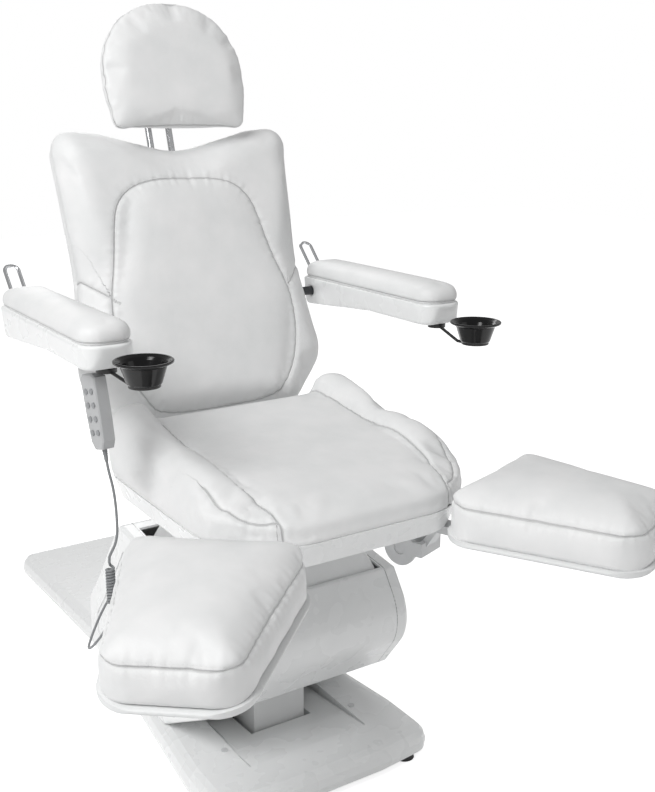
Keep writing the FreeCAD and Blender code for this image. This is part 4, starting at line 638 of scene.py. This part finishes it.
leg_slopes = {}
for side, turn, dip in ((-1, 39, 5.5), (1, 20, 0)):
    tag = "left" if side < 0 else "right"
    turned_out = Matrix.Rotation(math.radians(-90 + side * turn), 4, "Z")
    pin = Matrix.Translation(in_place(side * 140, -185, 0)) @ turned_out
    hub = Matrix.Translation(Vector((80, 0, 492)) * MM)
    leg_slope = np.array((pin @ hub @ Matrix.Rotation(math.radians(dip), 4, "Y") @ hub.inverted()).inverted())
    leg_slopes[tag] = leg_slope

    def over_board(place, slope=leg_slope):
        """Height over this leg rest's board."""
        return own_view(place, slope)[:, 2] - BOARD_TOP

    leg_pad = tight_copy("leg_cushion_" + tag, "leg_pad_" + tag, 7 * MM, 3 * MM, over_board)
    move(leg_pad, board_corners(leg_slope, 5 * MM))
    inflate(leg_pad, over_board, 4, 8 * MM)
    settle(leg_pad, over_board, 3 * MM)
    finer(leg_pad)
    view = own_view(places(leg_pad), leg_slope)
    run = along_line(view[:, :2], board_line, closed=True)[1]
    wall_seam = over_board(places(leg_pad)) - WALL_TALL
    sew(leg_pad, [(wall_seam, run)], 2.4 * MM, 4.5 * MM, 0.8 * MM)
    upholster(leg_pad, "leg_slide_" + tag, "leg_pad_" + tag)

# %% [markdown]
# ## Armrest bodies and leg boards
# The armrest bodies are moulded ABS with soft edges all round, and their underside runs nearly level
# to the rear. The boards under the leg pads are pressed shells with large corners. Both start from
# the plain solid, remeshed finely and smoothed, which rounds the edges as a mould does. Their CAD
# solids stay for the joints, and these pieces show in their place.

# %% Armrest bodies
ARM_UNDERSIDE, LIFTED_SHARE = 872 * MM, 0.55


def level_underside(place, normal):
    """Lifts the low rear of an armrest towards its front underside."""
    low = np.minimum(place[:, 2] - ARM_UNDERSIDE, 0)
    return np.column_stack([np.zeros(len(place)), np.zeros(len(place)), -LIFTED_SHARE * low])


def all_over(place):
    """For a piece that rests nowhere: no point of it is kept or shrunk."""
    return np.zeros(len(place))


def moulded_piece(name, body, solid, squares, rounds, finish):
    """A plain solid remeshed and smoothed, so that its edges are as soft as a mould leaves them."""
    piece = tight_copy(name, solid, squares, 0, all_over)
    soft = piece.modifiers.new("soft_edges", "SMOOTH")
    soft.factor, soft.iterations = 0.5, rounds
    bake(piece)
    piece.data.polygons.foreach_set("use_smooth", [True] * len(piece.data.polygons))
    piece.data.materials.clear()
    piece.data.materials.append(finish)
    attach(piece, body)
    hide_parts(solid)
    print(name, len(piece.data.polygons), "faces")
    return piece


for side in ("left", "right"):
    arm_shell = moulded_piece("arm_moulding_" + side, "arm_" + side, "arm_body_" + side, 3 * MM, 14,
                              gloss_abs)
    move(arm_shell, level_underside)

# %% Leg boards
for tag, leg_slope in leg_slopes.items():
    board = moulded_piece("leg_tray_" + tag, "leg_slide_" + tag, "leg_board_" + tag, 3 * MM, 5, eggshell_abs)
    move(board, board_corners(leg_slope, 0))

# %% [markdown]
# ## Housing joints
# The lift housing is a bent shell with a moulded cap pushed on at each end. The joint shows as a fine
# dark line round the whole section, so the shell's own outline is cut out there and given a narrow,
# slightly proud band in black: a painted shadow that stands in for the shade in the joint's gap.

# %% Cap joints
JOINT_OUT, BAND_WIDE, BAND_THICK = 189.2 * MM, 1.3 * MM, 0.5 * MM
for tag, out in (("right", 1), ("left", -1)):
    joint_shadow_band = bpy.data.objects.new("cap_joint_" + tag, nodes["housing_shell"].data.copy())
    scene.collection.objects.link(joint_shadow_band)
    cut = bmesh.new()
    cut.from_mesh(joint_shadow_band.data)
    bmesh.ops.remove_doubles(cut, verts=cut.verts, dist=0.00002)
    edge = COLUMN.x + out * JOINT_OUT
    bmesh.ops.bisect_plane(cut, geom=cut.verts[:] + cut.edges[:] + cut.faces[:], plane_co=(edge, 0, 0),
                           plane_no=(1, 0, 0), clear_inner=True, clear_outer=True)
    band = bmesh.ops.extrude_edge_only(cut, edges=cut.edges[:])["geom"]
    bmesh.ops.translate(cut, verts=[part for part in band if isinstance(part, bmesh.types.BMVert)],
                        vec=(out * BAND_WIDE, 0, 0))
    bmesh.ops.recalc_face_normals(cut, faces=cut.faces)
    bmesh.ops.solidify(cut, geom=cut.faces[:], thickness=BAND_THICK)
    bmesh.ops.recalc_face_normals(cut, faces=cut.faces)
    cut.to_mesh(joint_shadow_band.data)
    cut.free()
    # The band's black is a painted shadow for the gap at the cap's joint.
    joint_shadow_band.data.materials.clear()
    joint_shadow_band.data.materials.append(shadow_rubber)
    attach(joint_shadow_band, "base")
    print(joint_shadow_band.name, len(joint_shadow_band.data.polygons), "faces", [round(v, 3) for v in joint_shadow_band.dimensions])

# %% [markdown]
# ## Handset cord
# The cord drops from the handset, passes a short curly stretch and sweeps under the seat to the
# socket block. It is one unbroken line. Its route is a short list of given points on a smooth
# spline, and where it curls, the spline winds around its own route, leaving and joining it in an
# easy lead of 23 mm, as a curl does when it is wound hot on a rod.

# %% Route of the cord
def smooth_line(name, points, thick=0.0, steps=6):
    """A NURBS line through loose control points, round if it has a thickness."""
    line = bpy.data.curves.new(name, "CURVE")
    line.dimensions = "3D"
    line.resolution_u = steps
    line.bevel_depth = thick / 2
    line.bevel_resolution = 4
    line.use_fill_caps = True
    spline = line.splines.new("NURBS")
    spline.points.add(len(points) - 1)
    for slot, point in zip(spline.points, points):
        slot.co = (*point, 1)
    spline.order_u = 3
    spline.use_endpoint_u = True
    made = bpy.data.objects.new(name, line)
    scene.collection.objects.link(made)
    return made


CORD_THICK, CURL_RADIUS, CURL_PITCH, CURLS, LEAD = 4.8 * MM, 6.5 * MM, 5.6 * MM, 12, 23 * MM
above = [in_place(*spot) for spot in (
    (-364.58, -92.71, 710.28), (-363.93, -96.4, 692.67), (-357, -100, 655), (-354, -100, 610),
    (-355, -100, 560))]
curl_top, curl_end = in_place(-372, -100, 510), in_place(-372, -99.04, 442.81)
below = [in_place(*spot) for spot in (
    (-384, -88, 385), (-400, -66, 350), (-396, -22, 322), (-368, 30, 320), (-330, 72, 344),
    (-294, 88, 376), (-258, 88, 376))]
axis_way = (curl_end - curl_top).normalized()
axis_line = smooth_line("curl_axis", [curl_top - axis_way * LEAD, curl_top, curl_end,
                                      curl_end + axis_way * LEAD], steps=24)
drawn = bpy.data.meshes.new_from_object(axis_line)
axis_points = [vertex.co.copy() for vertex in drawn.vertices]
bpy.data.objects.remove(axis_line)


def on_axis(run):
    """The point of the curl's axis this far along it."""
    for start, end in zip(axis_points[:-1], axis_points[1:]):
        step = (end - start).length
        if run <= step:
            return start.lerp(end, run / step)
        run -= step
    return axis_points[-1]


# %% Curls and the finished cord
CURL_STEPS, LEAD_SLOPE, LEAD_TURN = 14, 2.1 * MM, -2.36
side_way = axis_way.cross(Vector((0, 1, 0))).normalized()
other_way = axis_way.cross(side_way)


def wound(run, radius, angle):
    """A point beside the axis, this far along it and turned by this angle."""
    return on_axis(run) + (side_way * math.cos(angle) + other_way * math.sin(angle)) * radius


def lead(share):
    """Run, radius and angle on the way from the axis to the first full curl."""
    left = 1 - share
    radius = CURL_RADIUS * share * share * (3 - 2 * share)
    return LEAD - (LEAD_SLOPE * left + (LEAD - LEAD_SLOPE) * left * left), radius, LEAD_TURN * left


full = 2 * math.pi * CURLS
turns = [(LEAD + CURL_PITCH * step / CURL_STEPS, CURL_RADIUS, 2 * math.pi * step / CURL_STEPS)
         for step in range(CURLS * CURL_STEPS + 1)]
lead_in = [lead(share / 9) for share in range(1, 9)]
whole = 2 * LEAD + CURL_PITCH * CURLS
lead_out = [(whole - run, radius, full - angle) for run, radius, angle in reversed(lead_in)]
curls = [wound(*turn) for turn in lead_in + turns + lead_out]
cord_points = above + [curl_top - axis_way * LEAD] + curls + [curl_end + axis_way * LEAD] + below
cord_line = smooth_line("handset_cord", cord_points, CORD_THICK)
cord_line.data.materials.append(cord_jacket)
bare = smooth_line("cord_measure", cord_points)
measured = bpy.data.meshes.new_from_object(bare)
bpy.data.objects.remove(bare)
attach(cord_line, "base")
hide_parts("cord_stretch_1", "cord_stretch_2", "cord_coil")

# %% [markdown]
# ## Strain relief
# Where the cord leaves the handset a soft sleeve tapers onto it. Rings cut into the sleeve let it
# bend without kinking the wires.

# %% Ribbed sleeve
SLEEVE_LONG, SLEEVE_RADIUS, SLEEVE_TAPER, SLEEVE_STEPS, GROOVE = 22, 4.9, 1.7, 32, 0.45
leave = in_place(-365.23, -89.03, 727.88)
drop_way = (above[0] - leave).normalized()
sleeve = bmesh.new()
outline = [(0, 0)]
for step in range(SLEEVE_STEPS + 1):
    groove = GROOVE if 4 < step < 28 and step % 6 > 3 else 0
    outline.append((SLEEVE_RADIUS - SLEEVE_TAPER * step / SLEEVE_STEPS - groove,
                    SLEEVE_LONG * step / SLEEVE_STEPS))
outline.append((0, SLEEVE_LONG))
edge_points = [sleeve.verts.new((radius * MM, 0, -drop * MM)) for radius, drop in outline]
edges = [sleeve.edges.new(pair) for pair in zip(edge_points[:-1], edge_points[1:])]
bmesh.ops.spin(sleeve, geom=edge_points + edges, cent=(0, 0, 0), axis=(0, 0, 1), angle=2 * math.pi, steps=28,
               use_merge=True)
bmesh.ops.remove_doubles(sleeve, verts=sleeve.verts, dist=0.00001)
hang = Matrix.Translation(leave) @ drop_way.to_track_quat("-Z", "Y").to_matrix().to_4x4()
bmesh.ops.transform(sleeve, matrix=hang, verts=sleeve.verts)
bmesh.ops.recalc_face_normals(sleeve, faces=sleeve.faces)
relief_mesh = bpy.data.meshes.new("relief_sleeve")
sleeve.to_mesh(relief_mesh)
sleeve.free()
relief_sleeve = bpy.data.objects.new("relief_sleeve", relief_mesh)
scene.collection.objects.link(relief_sleeve)
relief_mesh.materials.append(cord_jacket)
relief_mesh.polygons.foreach_set("use_smooth", [len(face.vertices) == 4 for face in relief_mesh.polygons])
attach(relief_sleeve, "handset")
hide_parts("cord_relief")
print("sleeve", len(relief_mesh.polygons), "faces")

# %% [markdown]
# ## Floor, backdrop and light
# The photograph is a catalogue cut-out: a white ground and a big soft source from the upper left and
# front, with a weaker fill from the right that leaves the sides of the cushions a light grey, and a
# lamp behind the chair that lights its edges. The camera sees plain white, other rays see a dimmer
# room, mirror rays see the floor's glow, and the floor keeps the chair's soft shadow.

# %% Studio
floor_mesh = bpy.data.meshes.new("studio_floor")
paper = bmesh.new()
bmesh.ops.create_grid(paper, x_segments=1, y_segments=1, size=9)
paper.to_mesh(floor_mesh)
paper.free()
floor = bpy.data.objects.new("studio_floor", floor_mesh)
scene.collection.objects.link(floor)
white_paper, tree, shader, where = new_finish("white_studio_paper")
shader.inputs["Base Color"].default_value = linear("#F4F4F4")
shader.inputs["Roughness"].default_value = 0.9
path = add(tree, "ShaderNodeLightPath")
seen = add(tree, "ShaderNodeMath", {0: path.outputs["Is Camera Ray"], 1: path.outputs["Is Glossy Ray"]},
           operation="MAXIMUM")
glow = add(tree, "ShaderNodeEmission", {"Color": (1, 1, 1, 1), "Strength": 0.75})
lift = add(tree, "ShaderNodeMixShader", {0: seen.outputs["Value"]})
plus = add(tree, "ShaderNodeAddShader", {0: shader.outputs["BSDF"], 1: glow.outputs["Emission"]})
tree.links.new(shader.outputs["BSDF"], lift.inputs[1])
tree.links.new(plus.outputs["Shader"], lift.inputs[2])
tree.links.new(lift.outputs["Shader"], tree.nodes["Material Output"].inputs["Surface"])
floor_mesh.materials.append(white_paper)

world = bpy.data.worlds.new("white_room")
scene.world = world
world.use_nodes = True
sky = world.node_tree
ray = add(sky, "ShaderNodeLightPath")
direct = add(sky, "ShaderNodeMath", {0: ray.outputs["Is Camera Ray"], 1: ray.outputs["Is Transmission Ray"]},
             operation="MAXIMUM")
level = add(sky, "ShaderNodeMapRange", {"Value": direct.outputs["Value"], "To Min": 0.4, "To Max": 1.0})
background = sky.nodes["Background"]
background.inputs["Color"].default_value = (1, 1, 1, 1)
sky.links.new(level.outputs["Result"], background.inputs["Strength"])


def soft_lamp(name, place, aim, size, power):
    """A round area light, aimed at a point."""
    lamp = bpy.data.objects.new(name, bpy.data.lights.new(name, "AREA"))
    lamp.data.shape = "DISK"
    lamp.data.size = size
    lamp.data.energy = power
    lamp.location = place
    lamp.rotation_euler = (Vector(aim) - Vector(place)).to_track_quat("-Z", "Y").to_euler()
    scene.collection.objects.link(lamp)
    return lamp


middle = (0, 0, 0.7)
soft_lamp("key_lamp", (-2.3, -1.2, 3.1), middle, 1.8, 76)
soft_lamp("fill_lamp", (2.4, -2.6, 1.7), middle, 2.2, 7)
soft_lamp("rim_lamp", (0.8, 2.9, 2.4), middle, 1.6, 22)

scene.view_settings.view_transform = "Standard"
